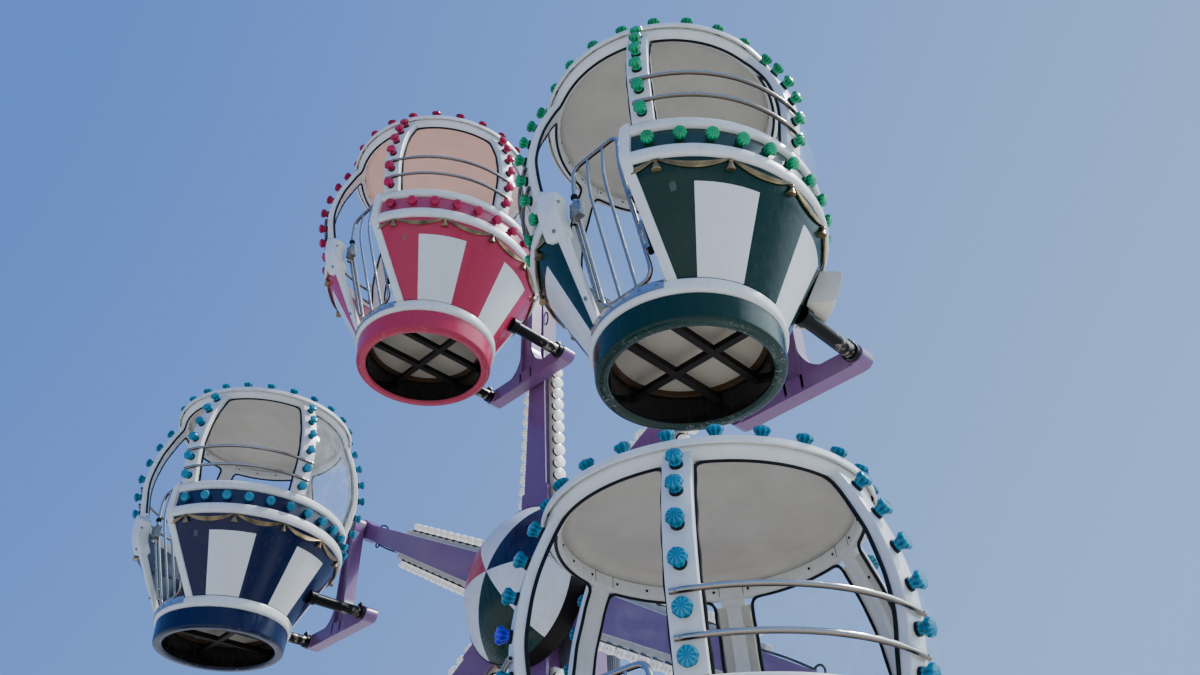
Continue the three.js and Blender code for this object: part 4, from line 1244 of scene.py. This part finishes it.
class FERRIS_OT_gates(Operator):
    """Barred gates of bent chrome tube with their hinges, latches and drop rods"""
    bl_idname = "ferris.gates"
    bl_label = "Gates"

    # The bars' y at their foot and above their kink
    foot_y, top_y = -0.403, -0.574
    # Heights of the lower rail, of that foot, of the kink and of the top rail
    rail, foot, kink, top = 0.238, 0.250, 0.790, 0.990

    def depth(self, height, blend=0.03):
        """The gate's y at a height: sloping in with the wall up to the kink, then upright, blended by
        the logarithm of one plus an exponential."""
        slope = (self.foot_y - self.top_y) / (self.kink - self.foot)
        return self.top_y + slope * blend * np.log1p(np.exp((self.kink - height) / blend))

    def execute(self, context):
        # The frame is a rounded outline in X and Z, carried back to the bars' y at each height
        left, right = -0.118, 0.167
        outline = rounded([(left, self.rail), (right, self.rail), (right, self.top), (left, self.top)],
                          (0.035, 0.07, 0.055, 0.055), 8)
        dense = read_along(np.vstack([outline, outline[:1]]), np.arange(200) / 200)
        path = np.stack([dense[:, 0], self.depth(dense[:, 1]), dense[:, 1]], axis=1)
        bars = [tube(path, 0.011, 14, up=(0.0, 1.0, 0.02), closed=True)]
        z = np.linspace(self.rail, self.top, 40)
        for x in (0.072, -0.023):
            path = np.stack([np.full(40, x), self.depth(z), z], axis=1)
            bars.append(tube(path, 0.008, 12, up=(0, 1, 0.02)))
        dress_cabins("gate_bars", joined(bars), "polished_stainless", ("gate",), part="gate")
        self.fittings(left)
        return {"FINISHED"}

    def fittings(self, left):
        """Latch box with its tongue, knob, twin drop rods and hinge barrels with their straps."""
        latch = box(left - 0.014, left + 0.050, -0.590, -0.550, 0.664, 0.752)
        dress_cabins("latch_box", latch, "zinc_plated_steel", part="gate", bevel=0.004)
        pieces = [rod((left - 0.013, -0.568, 0.735), (left - 0.018, -0.568, 0.735), 0.009, 12),
                  rod((left - 0.004, -0.568, 0.664), (left - 0.004, -0.568, 0.636), 0.010, 12)]
        for offset in (0.0, -0.0125):
            z = np.linspace(0.275, 0.665, 20)
            path = np.stack([np.full(20, left + offset), self.depth(z) - 0.022, z], axis=1)
            pieces.append(tube(path, 0.0048, 10, up=(0, 1, 0.02)))
        for z in (0.275, 0.34, 0.655):
            y = float(self.depth(np.array(z)))
            pieces.append(rod((left, y - 0.008, z), (left - 0.006, y - 0.026, z), 0.007, 8))
        heads = bolts([(left + x, -0.590, z) for x, z in ((0.040, 0.740), (-0.004, 0.740), (0.040, 0.676))],
                      (0, -1, 0), 0.009, 0.004)
        dress_cabins("latch_rods", joined(pieces + [heads]), "polished_stainless", part="gate", slot="")
        slope = (self.top_y - self.foot_y) / (self.kink - self.foot)

        def hinge(z):
            return np.array([0.198, self.foot_y + slope * (z - self.foot) - 0.014, z])

        barrels = []
        for low, high in ((0.350, 0.480), (0.600, 0.660)):
            barrels.append(rod(hinge(low), hinge(high), 0.011, 18))
            for z in (low + 0.02, high - 0.02):
                x, y, _ = hinge(z)
                barrels.append(box(0.165, x, y + 0.001, y + 0.013, z - 0.011, z + 0.011))
        dress_cabins("hinge_barrels", joined(barrels), "zinc_plated_steel", part="gate")
        straps = []
        for low in (0.350, 0.600):
            x, y, z = hinge(low - 0.0005)
            straps.append(rod(hinge(low - 0.030), hinge(low - 0.0008), 0.011, 18))
            straps.append(box(x + 0.004, x + 0.030, y - 0.006, y + 0.006, z - 0.028, z - 0.008))
        z = np.linspace(0.310, 0.665, 14)
        x0 = np.full(14, 0.2155)
        y = self.foot_y + slope * (z - self.foot) - 0.02
        edge = np.stack([
            np.stack([x0, y - 0.012, z], 1), np.stack([x0 + 0.008, y - 0.012, z], 1),
            np.stack([x0 + 0.008, y + 0.018, z], 1), np.stack([x0, y + 0.018, z], 1)], axis=1)
        straps.append(sweep(edge))
        dress_cabins("hinge_brackets", joined(straps), "black_painted_steel")
        turns = np.linspace(0, np.pi, 9)
        grip = np.stack([0.0185 * np.sin(turns), -0.020 * np.cos(turns)], axis=1)
        z = 0.806
        knob = moved(band(grip, sides=18), (left, float(self.depth(np.array(z))), z))
        dress_cabins("latch_knob", knob, "black_rubber", part="gate")


class FERRIS_OT_hangers(Operator):
    """Purple hangers with their sockets, clamps, black tubes and pivots"""
    bl_idname = "ferris.hangers"
    bl_label = "Hangers"

    # How far to each side the tubes lie, and the height of the crossbar's middle
    tube_x, bar_height = 0.359, 0.373

    def execute(self, context):
        edge = context.scene.ferris_wheel.edge_radius
        back, front = HANGER_BACK, HANGER_BACK - 0.090
        low, high = self.bar_height - 0.050, self.bar_height + 0.050
        half, groove, deep, head_radius = 0.06, 0.044, 0.022, 0.075
        angle = np.linspace(0, np.pi, 13)
        head = np.stack([np.cos(angle), np.sin(angle)], axis=1) * head_radius + (0.0, PIVOT_HEIGHT)
        channel = [(-half, front), (-groove, front), (-groove, front + deep), (groove, front + deep),
                   (groove, front), (half, front), (half, back), (-half, back)]
        levels = (low + 0.02, PIVOT_HEIGHT - 0.055)
        post = sweep(np.array([[(x, y, z) for x, y in channel] for z in levels]))
        neck = PIVOT_HEIGHT - 0.07
        cap = slab(np.vstack([head, [(-half, neck), (half, neck)]]), front, back)
        bar = box(-self.tube_x, self.tube_x, front, back, low, high)
        # The webs between post and crossbar are hollowed by a quarter of an ellipse
        near, reach, foot, top = 0.058, 0.210, high - 0.004, 0.620
        bend = np.linspace(0, np.pi / 2, 12)
        hollow = (reach, top) - np.stack([np.sin(bend), np.cos(bend)], axis=1) * (reach - near, top - foot)
        webs = [slab(np.vstack([(near, foot), hollow]) * (side, 1), front + 0.004, back - 0.004)
                for side in (1, -1)]
        dress_cabins("hanger", joined([post, cap, bar, *webs]), "purple_enamel", ("hanger",), bevel=edge)
        self.sockets(front, back)
        self.pivot(front)
        return {"FINISHED"}

    def sockets(self, front, back):
        """Round sockets at the crossbar's ends, and the tubes with their collars and bolted clamps."""
        z = self.bar_height
        sockets, tubes, clamps, heads, sleeves = [], [], [], [], []
        for x in (-self.tube_x, self.tube_x):
            sockets.append(rod((x, front - 0.012, z), (x, back, z), 0.052, 40, 0.004))
            tubes.append(rod((x, 0.390, z), (x, front + 0.01, z), 0.0375, 36, 0.003))
            clamps.append(rod((x, front - 0.045, z), (x, front - 0.014, z), 0.046, 32, 0.003))
            clamps.append(box(x - 0.018, x + 0.018, front - 0.045, front - 0.014, z + 0.038, z + 0.066))
            heads.append(bolts([(x + side * 0.018, front - 0.030, z + 0.053) for side in (-1, 1)],
                               [(side, 0, 0) for side in (-1, 1)], 0.017, 0.010))
            heads.append(bolts([(x, front - 0.030, z + 0.066)], (0, 0, 1), 0.019, 0.011))
            sleeves.append(rod((x, 0.388, z), (x, 0.4398, z), 0.048, 32, 0.004))
        dress_cabins("hanger_sockets", joined(sockets), "purple_enamel")
        dress_cabins("hanger_tubes", joined(tubes), "worn_black_steel")
        dress_cabins("tube_clamps", joined(clamps), "black_painted_steel", bevel=0.003)
        dress_cabins("clamp_bolts", joined(heads), "zinc_plated_steel")
        dress_cabins("tube_collars", joined(sleeves), "black_painted_steel")

    def pivot(self, front):
        """The turning shaft through the arm's eye, its end disc behind and its bolt in front."""
        y = ARM_BACK - CABIN_PLACES[1][1]
        z = PIVOT_HEIGHT
        near, far = front - 0.008, y + 0.0206
        shaft = rod((0, HANGER_BACK - 0.02, z), (0, y + 0.006, z), 0.030, 24)
        disc = rod((0, y + 0.0006, z), (0, far, z), 0.055, 32, 0.003)
        cover = rod((0, near, z), (0, front + 0.004, z), 0.048, 32, 0.003)
        dress_cabins("pivot_shaft", joined([shaft, disc, cover]), "zinc_plated_steel")
        heads = [bolts([(0, near, z)], (0, -1, 0), 0.036, 0.016),
                 ring_of_bolts(6, 0.040, (0, far, z), (0, 1, 0), 0.013, 0.007)]
        dress_cabins("pivot_bolts", joined(heads), "zinc_plated_steel")


# Distance from the hub and half width of an arm where it is widest and where its tip begins
ARM_TAPER = ((0.55, 0.105), (2.25, 0.057))


def arm_half_width(x):
    """Half the arm's width at a distance from the hub, which narrows evenly along its taper."""
    (near, wide), (far, narrow) = ARM_TAPER
    return wide + (x - near) / (far - near) * (narrow - wide)


def dress_arms(piece, shape, finish_name, replaced=False, **extra):
    """The same piece on all six arms: worked out along +X from the hub and turned to each pivot."""
    for k in CABIN_NUMBERS:
        across, rise = PIVOTS[k][0] - HUB[0], PIVOTS[k][2] - HUB[2]
        cosine, sine = across / PIVOT_RADIUS, rise / PIVOT_RADIUS
        spin = np.array([[cosine, 0, sine], [0, 1, 0], [-sine, 0, cosine]])
        nodes = [f"arm_{k}"] if replaced else ()
        dress(f"{piece}_{k}", placed(shape, AXIS_FOOT, spin[None]), finish_name, "wheel", nodes, **extra)


class FERRIS_OT_arms(Operator):
    """Tapered purple arms with cream lamp rails and rows of white bulbs"""
    bl_idname = "ferris.arms"
    bl_label = "Arms"

    def execute(self, context):
        sizes = context.scene.ferris_wheel
        angle = np.radians(np.linspace(-118, 118, 17))
        eye = np.stack([np.cos(angle), np.sin(angle)], axis=1) * 0.078 + (PIVOT_RADIUS, 0.0)
        edge = np.array([(0.2006, 0.090), *ARM_TAPER])
        box_beam = slab(np.vstack([edge * (1, -1), eye, edge[::-1]]), ARM_FRONT, ARM_BACK)
        dress_arms("arm", box_beam, "purple_enamel", True, bevel=sizes.edge_radius)
        middle = (ARM_FRONT + ARM_BACK) / 2
        start, trim_start, end, rise = 0.50, 0.64, 1.77, 0.038
        near, far = arm_half_width(start), arm_half_width(end)
        rails, trims, caps_at, out = [], [], [], []
        for side in (1, -1):
            rails.append(slab([(start, side * (near - 0.01)), (end, side * (far - 0.01)),
                               (end, side * (far + rise)), (start, side * (near + rise))],
                              middle - 0.022, middle + 0.022))
            # A thin white strip along each front edge of the arm: a painted highlight of that edge
            trims.append(slab([(trim_start, side * (near - 0.003)), (end, side * (far - 0.001)),
                               (end, side * (far + 0.003)), (trim_start, side * (near + 0.001))],
                              ARM_FRONT + 0.002, ARM_FRONT + 0.008))
            x = np.arange(start + 0.06, end - 0.03, sizes.bulb_pitch)
            edge = side * (arm_half_width(x) + rise)
            caps_at.append(np.stack([x, np.full(len(x), middle), edge], axis=1))
            out.append(np.broadcast_to((0.028, 0.0, side), (len(x), 3)))
        dress_arms("lamp_rails", joined(rails), "cream_flowcoat", bevel=0.004)
        dress_arms("edge_highlight_strips", joined(trims), "white_chalked_gelcoat", slot="")
        edge = np.array([(0.43, 0.128), (0.67, 0.121), (0.68, 0.112)])
        root = slab(np.vstack([edge * (1, -1), edge[::-1]]), ARM_FRONT - 0.004, ARM_FRONT + 0.020)
        dress_arms("arm_roots", root, "purple_enamel", bevel=0.002)
        seats, out = np.concatenate(caps_at), np.concatenate(out)
        axes = facing(out, (0.0, 1.0, 0.0))
        radius = sizes.bulb_diameter / 2
        cap = lamp_cap(radius, 0.80)
        bulbs = placed(cap, seats + unit(out) * SOCKET_HEIGHT, axes)
        own = np.tile(cap.points / radius, (len(seats), 1))
        dress_arms("bulbs", bulbs, "white_acrylic_lens", crease=24.0, local=own)
        dress_arms("bulb_sockets", placed(lamp_socket(radius), seats, axes), "black_socket_plastic")
        self.eyes()
        return {"FINISHED"}

    def eyes(self):
        """Near the tip, a flat eye of bent rod on one edge, and a round one with a cable on the other:
        half an ellipse for each rod, and half a sine wave for the cable."""
        at, start, end = 2.10, 1.76, 2.085
        turns = np.linspace(0, np.pi, 19)
        pieces = []
        for side, along, height in ((-1, 0.060, 0.022), (1, 0.030, 0.034)):
            width = side * (arm_half_width(at) - 0.002)
            path = np.stack([at + along * np.cos(turns), np.full(19, ARM_FRONT + 0.03),
                             width + side * height * np.sin(turns)], axis=1)
            pieces.append(tube(path, 0.0058, 8, up=(0.0, 1.0, 0.0)))
        x = np.linspace(start, end, 24)
        sag = 0.004 + 0.006 * np.sin(np.pi * (x - start) / (end - start))
        cable = np.stack([x, np.full(24, ARM_FRONT + 0.022), arm_half_width(x) + sag], axis=1)
        pieces.append(tube(cable, 0.0060, 8, up=(0.0, 1.0, 0.0)))
        dress_arms("arm_eyes", joined(pieces), "black_rubber")


class FERRIS_OT_hub(Operator):
    """Harlequin hub cap, hub core, flange and axle"""
    bl_idname = "ferris.hub"
    bl_label = "Hub"

    def execute(self, context):
        # Part of a ball: its radius times the sine and the cosine of the angle from the pole
        sphere, thick, sunk = 0.580, 0.008, 0.216
        angle = np.radians(np.linspace(0, 55, 26))
        outer, inner = (np.stack([ball * np.sin(angle), ball * np.cos(angle) - sunk], axis=1)
                        for ball in (sphere, sphere - thick))
        cap = band(np.concatenate([outer, inner[::-1]]), sides=180)
        quarter = np.array([[1.0, 0, 0], [0, 0, 1.0], [0, -1.0, 0]])[None]
        at = (HUB[0], ARM_FRONT, HUB[2])
        dress("hub_cap", placed(cap, at, quarter), "harlequin_gelcoat", "wheel", ("hub_dome",))
        rim = float(outer[-1, 1])
        inside, outside, top = 0.452, 0.4775, rim + 0.006
        skirt = rounded([(inside, 0.002), (outside, 0.002), (outside, top), (inside, top)], 0.003)
        skirt = band(skirt, sides=180)
        dress("hub_skirt", placed(skirt, at, quarter), "road_black_enamel", "wheel")
        turns = np.radians(np.arange(6) * 60)
        corner = 0.200 / math.cos(math.pi / 6)
        seat, face = ARM_BACK + 0.0003, ARM_BACK + 0.0303
        core = slab(np.stack([np.cos(turns), np.sin(turns)], axis=1) * corner, ARM_FRONT, seat)
        flange = rod((0, seat, 0), (0, face, 0), 0.500, 96, 0.004)
        axle = rod((0, ARM_BACK + 0.02, 0), (0, 0.135, 0), 0.060, 40)
        core = moved(joined([core, flange, axle]), AXIS_FOOT)
        dress("hub_core", core, "grey_enamel", "wheel", ("hub_core",))
        ring = ring_of_bolts(12, 0.40, (0, face, HUB[2]), (0, 1, 0), 0.030, 0.018, start=15)
        dress("hub_bolts", ring, "zinc_plated_steel", "wheel")
        return {"FINISHED"}


def dress_steel(name, shape, nodes=(), bevel=0.003):
    """A purple piece of the base."""
    dress(name, shape, "purple_enamel", "base", nodes, bevel=bevel)


class FERRIS_OT_tower(Operator):
    """Mast, braces, drive and the base beams"""
    bl_idname = "ferris.tower"
    bl_label = "Tower"

    def execute(self, context):
        edge = context.scene.ferris_wheel.edge_radius * 1.6
        for node in ("base_beam_front", "base_beam_middle", "base_beam_rear", "base_spine"):
            low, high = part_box(node)
            beam = box(low.x, high.x, low.y, high.y, low.z, high.z)
            dress_steel(node.replace("base_", ""), beam, (node,), edge)
        self.mast(edge)
        self.braces(edge)
        self.drive(edge)
        return {"FINISHED"}

    def mast(self, edge):
        """The box column with its foot plate, gussets, anchor bolts and bearing housings."""
        low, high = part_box("mast")
        half_x, half_y, plate = 0.160, 0.140, low.z + 0.025
        column = box(-half_x, half_x, -half_y, half_y, low.z, high.z)
        foot = box(low.x, high.x, low.y, high.y, low.z, plate)
        dress_steel("mast", joined([column, foot]), ("mast",), edge)
        webs = []
        for side in (1, -1):
            for y in (-0.09, 0.09):
                webs.append(slab([(side * half_x, low.z + 0.02), (side * 0.25, low.z + 0.02),
                                  (side * half_x, low.z + 0.24)], y - 0.008, y + 0.008))
        dress_steel("mast_webs", joined(webs), bevel=0.002)
        wide, deep = half_x + 0.012, half_y + 0.012
        dress_steel("mast_lid", box(-wide, wide, -deep, deep, high.z - 0.004, high.z + 0.006))
        spots = [(x, y, plate) for x in (-0.225, 0.225) for y in (-0.165, -0.03, 0.03, 0.165)]
        dress("anchor_bolts", bolts(spots, (0, 0, 1), 0.034, 0.022), "zinc_plated_steel", "base")
        face = -half_y - 0.016
        housing = rod((0, face, HUB[2]), (0, -half_y + 0.002, HUB[2]), 0.125, 48, 0.004)
        dress("bearing_housing", housing, "grey_enamel", "base")
        ring = ring_of_bolts(6, 0.100, (0, face, HUB[2]), (0, -1, 0), 0.022, 0.012, start=30)
        dress("bearing_bolts", ring, "zinc_plated_steel", "base")

    def braces(self, edge):
        """Slanting struts from the beams to the mast, with bolted plates at both ends."""
        near, far, deep = 1.20, 1.34, 0.23
        for name, side in (("brace_right", 1), ("brace_left", -1)):
            low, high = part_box(name)
            face = low.x if side > 0 else high.x
            outline = [(side * near, low.z), (side * far, low.z), (face, high.z), (face, high.z - deep)]
            dress_steel(name, slab(outline, low.y, high.y), (name,), edge)
            front = face + side * 0.014
            plate = box(min(face, front), max(face, front), low.y - 0.04, high.y + 0.04,
                        high.z - 0.30, high.z + 0.04)
            dress_steel(f"{name}_plate", plate)
            heads = [(front, y, z) for y in (low.y - 0.022, high.y + 0.022)
                     for z in (high.z - 0.27, high.z + 0.01)]
            dress(f"{name}_bolts", bolts(heads, (side, 0, 0), 0.024, 0.013), "zinc_plated_steel", "base")
        low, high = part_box("brace_rear")
        outline = [(near, low.z), (far, low.z), (low.y, high.z), (low.y, high.z - deep)]
        strut = sweep(np.array([[(x, y, z) for y, z in outline] for x in (low.x, high.x)]))
        dress_steel("brace_rear", strut, ("brace_rear",), edge)

    def drive(self, edge):
        """Gear case with its cover and an upright motor: its radius goes in and out every two points
        round it for the cooling fins."""
        low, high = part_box("drive")
        case_low = HUB[2] - 0.20
        case = box(-0.150, 0.150, low.y, high.y, case_low, high.z)
        cover = box(-0.125, 0.125, high.y - 0.002, high.y + 0.010, case_low + 0.03, high.z - 0.03)
        dress("gear_case", joined([case, cover]), "grey_enamel", "base", ("drive",), bevel=edge)
        levels = (case_low + 0.045, HUB[2], high.z - 0.045)
        spots = [(x, high.y + 0.010, z) for x in (-0.11, 0.11) for z in levels]
        dress("case_bolts", bolts(spots, (0, 1, 0), 0.018, 0.010), "zinc_plated_steel", "base")
        y = low.y + 0.125
        fins = 40
        step = np.arange(fins * 4)
        radius = np.where(step % 4 < 2, 0.104, 0.090)
        levels = np.array([low.z + 0.05, case_low - 0.01])
        body = sweep(around(radius[None], step[None] * 360 / len(step), levels[:, None]))
        cowl = rod((0, 0, low.z), (0, 0, low.z + 0.055), 0.106, 40, 0.008)
        neck = rod((0, 0, case_low - 0.02), (0, 0, case_low + 0.005), 0.106, 40, 0.002)
        motor = moved(joined([body, cowl, neck]), (0, y, 0))
        dress("motor", motor, "grey_enamel", "base", crease=30.0)


# The directions of the main light, of the glow beside it, and of the palest side of the backdrop
KEY_WAY = (0.353, 0.504, 0.788)
GLOW_WAY = (0.6016, 0.6230, 0.50)
PALE_WAY = (0.62, 0.55, -0.56)
# The camera: its place in metres, its heading, pitch and roll in degrees, its sensor and lens in mm
CAMERA_PLACE = (4.0686, -3.915, 1.5257)
CAMERA_TURNS = (43.70, 38.755, -2.065)
SENSOR_WIDTH = 36.0
FOCAL_LENGTH = 28.56


class FERRIS_OT_stage(Operator):
    """Pale floor, soft light and the camera at the photograph's view"""
    bl_idname = "ferris.stage"
    bl_label = "Stage"

    def execute(self, context):
        settings = context.scene.ferris_stage
        half = settings.floor_width / 2
        mesh = bpy.data.meshes.new("floor")
        corners = [(-half, -half, 0), (half, -half, 0), (half, half, 0), (-half, half, 0)]
        mesh.from_pydata(corners, [], [(0, 1, 2, 3)])
        mesh.materials.append(finish("pale_floor_paint"))
        floor = bpy.data.objects.new("floor", mesh)
        context.scene.collection.objects.link(floor)
        self.air(context, settings)
        key = bpy.data.lights.new("key", "SUN")
        key.energy = settings.key_light
        key.angle = math.radians(4)
        lamp = bpy.data.objects.new("key", key)
        lamp.matrix_world = Matrix(facing(KEY_WAY)[0].T.tolist()).to_4x4()
        context.scene.collection.objects.link(lamp)
        self.camera(context)
        return {"FINISHED"}

    def air(self, context, settings):
        """Light from all round, which pales from deep to pale towards one side and glows round the key."""
        world = bpy.data.worlds.new("soft_air")
        context.scene.world = world
        world.use_nodes = True
        tree = world.node_tree
        tree.nodes.clear()
        way = add(tree, "TexCoord").outputs["Generated"]
        side = add(tree, "VectorMath", (way, PALE_WAY), operation="DOT_PRODUCT")
        share = add(tree, "MapRange", (side, -0.80, 0.20))
        pale = tuple(settings.air_colour)
        deep = tuple(c * f for c, f in zip(pale, (0.32, 0.47, 0.80)))
        blend = add(tree, "Mix", {0: share, 6: deep, 7: pale}, data_type="RGBA")
        near_key = add(tree, "VectorMath", (way, GLOW_WAY), operation="DOT_PRODUCT")
        halo = add(tree, "MapRange", (near_key, 0.865, 0.965))
        white = tuple(settings.halo_light * c for c in (0.85, 1.05, 1.2))
        bright = add(tree, "Mix", {0: halo, 6: blend, 7: white}, data_type="RGBA")
        air = add(tree, "Background", {"Color": bright, "Strength": settings.air_light})
        add(tree, "OutputWorld", (air,))

    def camera(self, context):
        """Stands at the photograph's place and looks up: heading from +Y towards -X, pitch above the
        horizon, and a slight roll. The view is minus the sine and plus the cosine of the heading, both
        times the cosine of the pitch, and the sine of the pitch."""
        heading, pitch, roll = (math.radians(angle) for angle in CAMERA_TURNS)
        forward = np.array([-math.sin(heading) * math.cos(pitch), math.cos(heading) * math.cos(pitch),
                            math.sin(pitch)])
        level = unit(np.cross(forward, (0, 0, 1)))
        above = np.cross(level, forward)
        right = level * math.cos(roll) + above * math.sin(roll)
        up = above * math.cos(roll) - level * math.sin(roll)
        lens = bpy.data.cameras.new("camera")
        lens.sensor_width = SENSOR_WIDTH
        lens.lens = FOCAL_LENGTH
        lens.clip_end = 200
        view = bpy.data.objects.new("camera", lens)
        matrix = Matrix(np.stack([right, up, -forward], axis=1).tolist()).to_4x4()
        matrix.translation = CAMERA_PLACE
        view.matrix_world = matrix
        context.scene.collection.objects.link(view)
        context.scene.camera = view


PIECES = (
    FERRIS_OT_tub_walls, FERRIS_OT_tub_rings, FERRIS_OT_underside, FERRIS_OT_gate_posts,
    FERRIS_OT_swags, FERRIS_OT_lighting_boxes, FERRIS_OT_canopy, FERRIS_OT_glazing, FERRIS_OT_lamps,
    FERRIS_OT_gates, FERRIS_OT_hangers, FERRIS_OT_arms, FERRIS_OT_hub, FERRIS_OT_tower, FERRIS_OT_stage,
)
SETTINGS = {
    "ferris_colours": FERRIS_PG_colours, "ferris_cabin": FERRIS_PG_cabin,
    "ferris_wheel": FERRIS_PG_wheel, "ferris_stage": FERRIS_PG_stage,
}


class FERRIS_PT_panel(Panel):
    """Lists the pieces and their settings"""
    bl_idname = "FERRIS_PT_panel"
    bl_label = "Ferris Wheel"
    bl_space_type = "VIEW_3D"
    bl_region_type = "UI"
    bl_category = "Ferris Wheel"

    def draw(self, context):
        for name, group in SETTINGS.items():
            part = self.layout.box()
            for setting in group.__annotations__:
                part.prop(getattr(context.scene, name), setting)
        for piece in PIECES:
            self.layout.operator(piece.bl_idname)


def register():
    for group in SETTINGS.values():
        bpy.utils.register_class(group)
    for name, group in SETTINGS.items():
        setattr(bpy.types.Scene, name, PointerProperty(type=group))
    for piece in (*PIECES, FERRIS_PT_panel):
        bpy.utils.register_class(piece)


def unregister():
    for piece in reversed((*PIECES, FERRIS_PT_panel)):
        bpy.utils.unregister_class(piece)
    for name in SETTINGS:
        delattr(bpy.types.Scene, name)
    for group in reversed(list(SETTINGS.values())):
        bpy.utils.unregister_class(group)


def main():
    register()
    for piece in PIECES:
        group, name = piece.bl_idname.split(".")
        getattr(getattr(bpy.ops, group), name)()


if __name__ == "__main__":
    main()
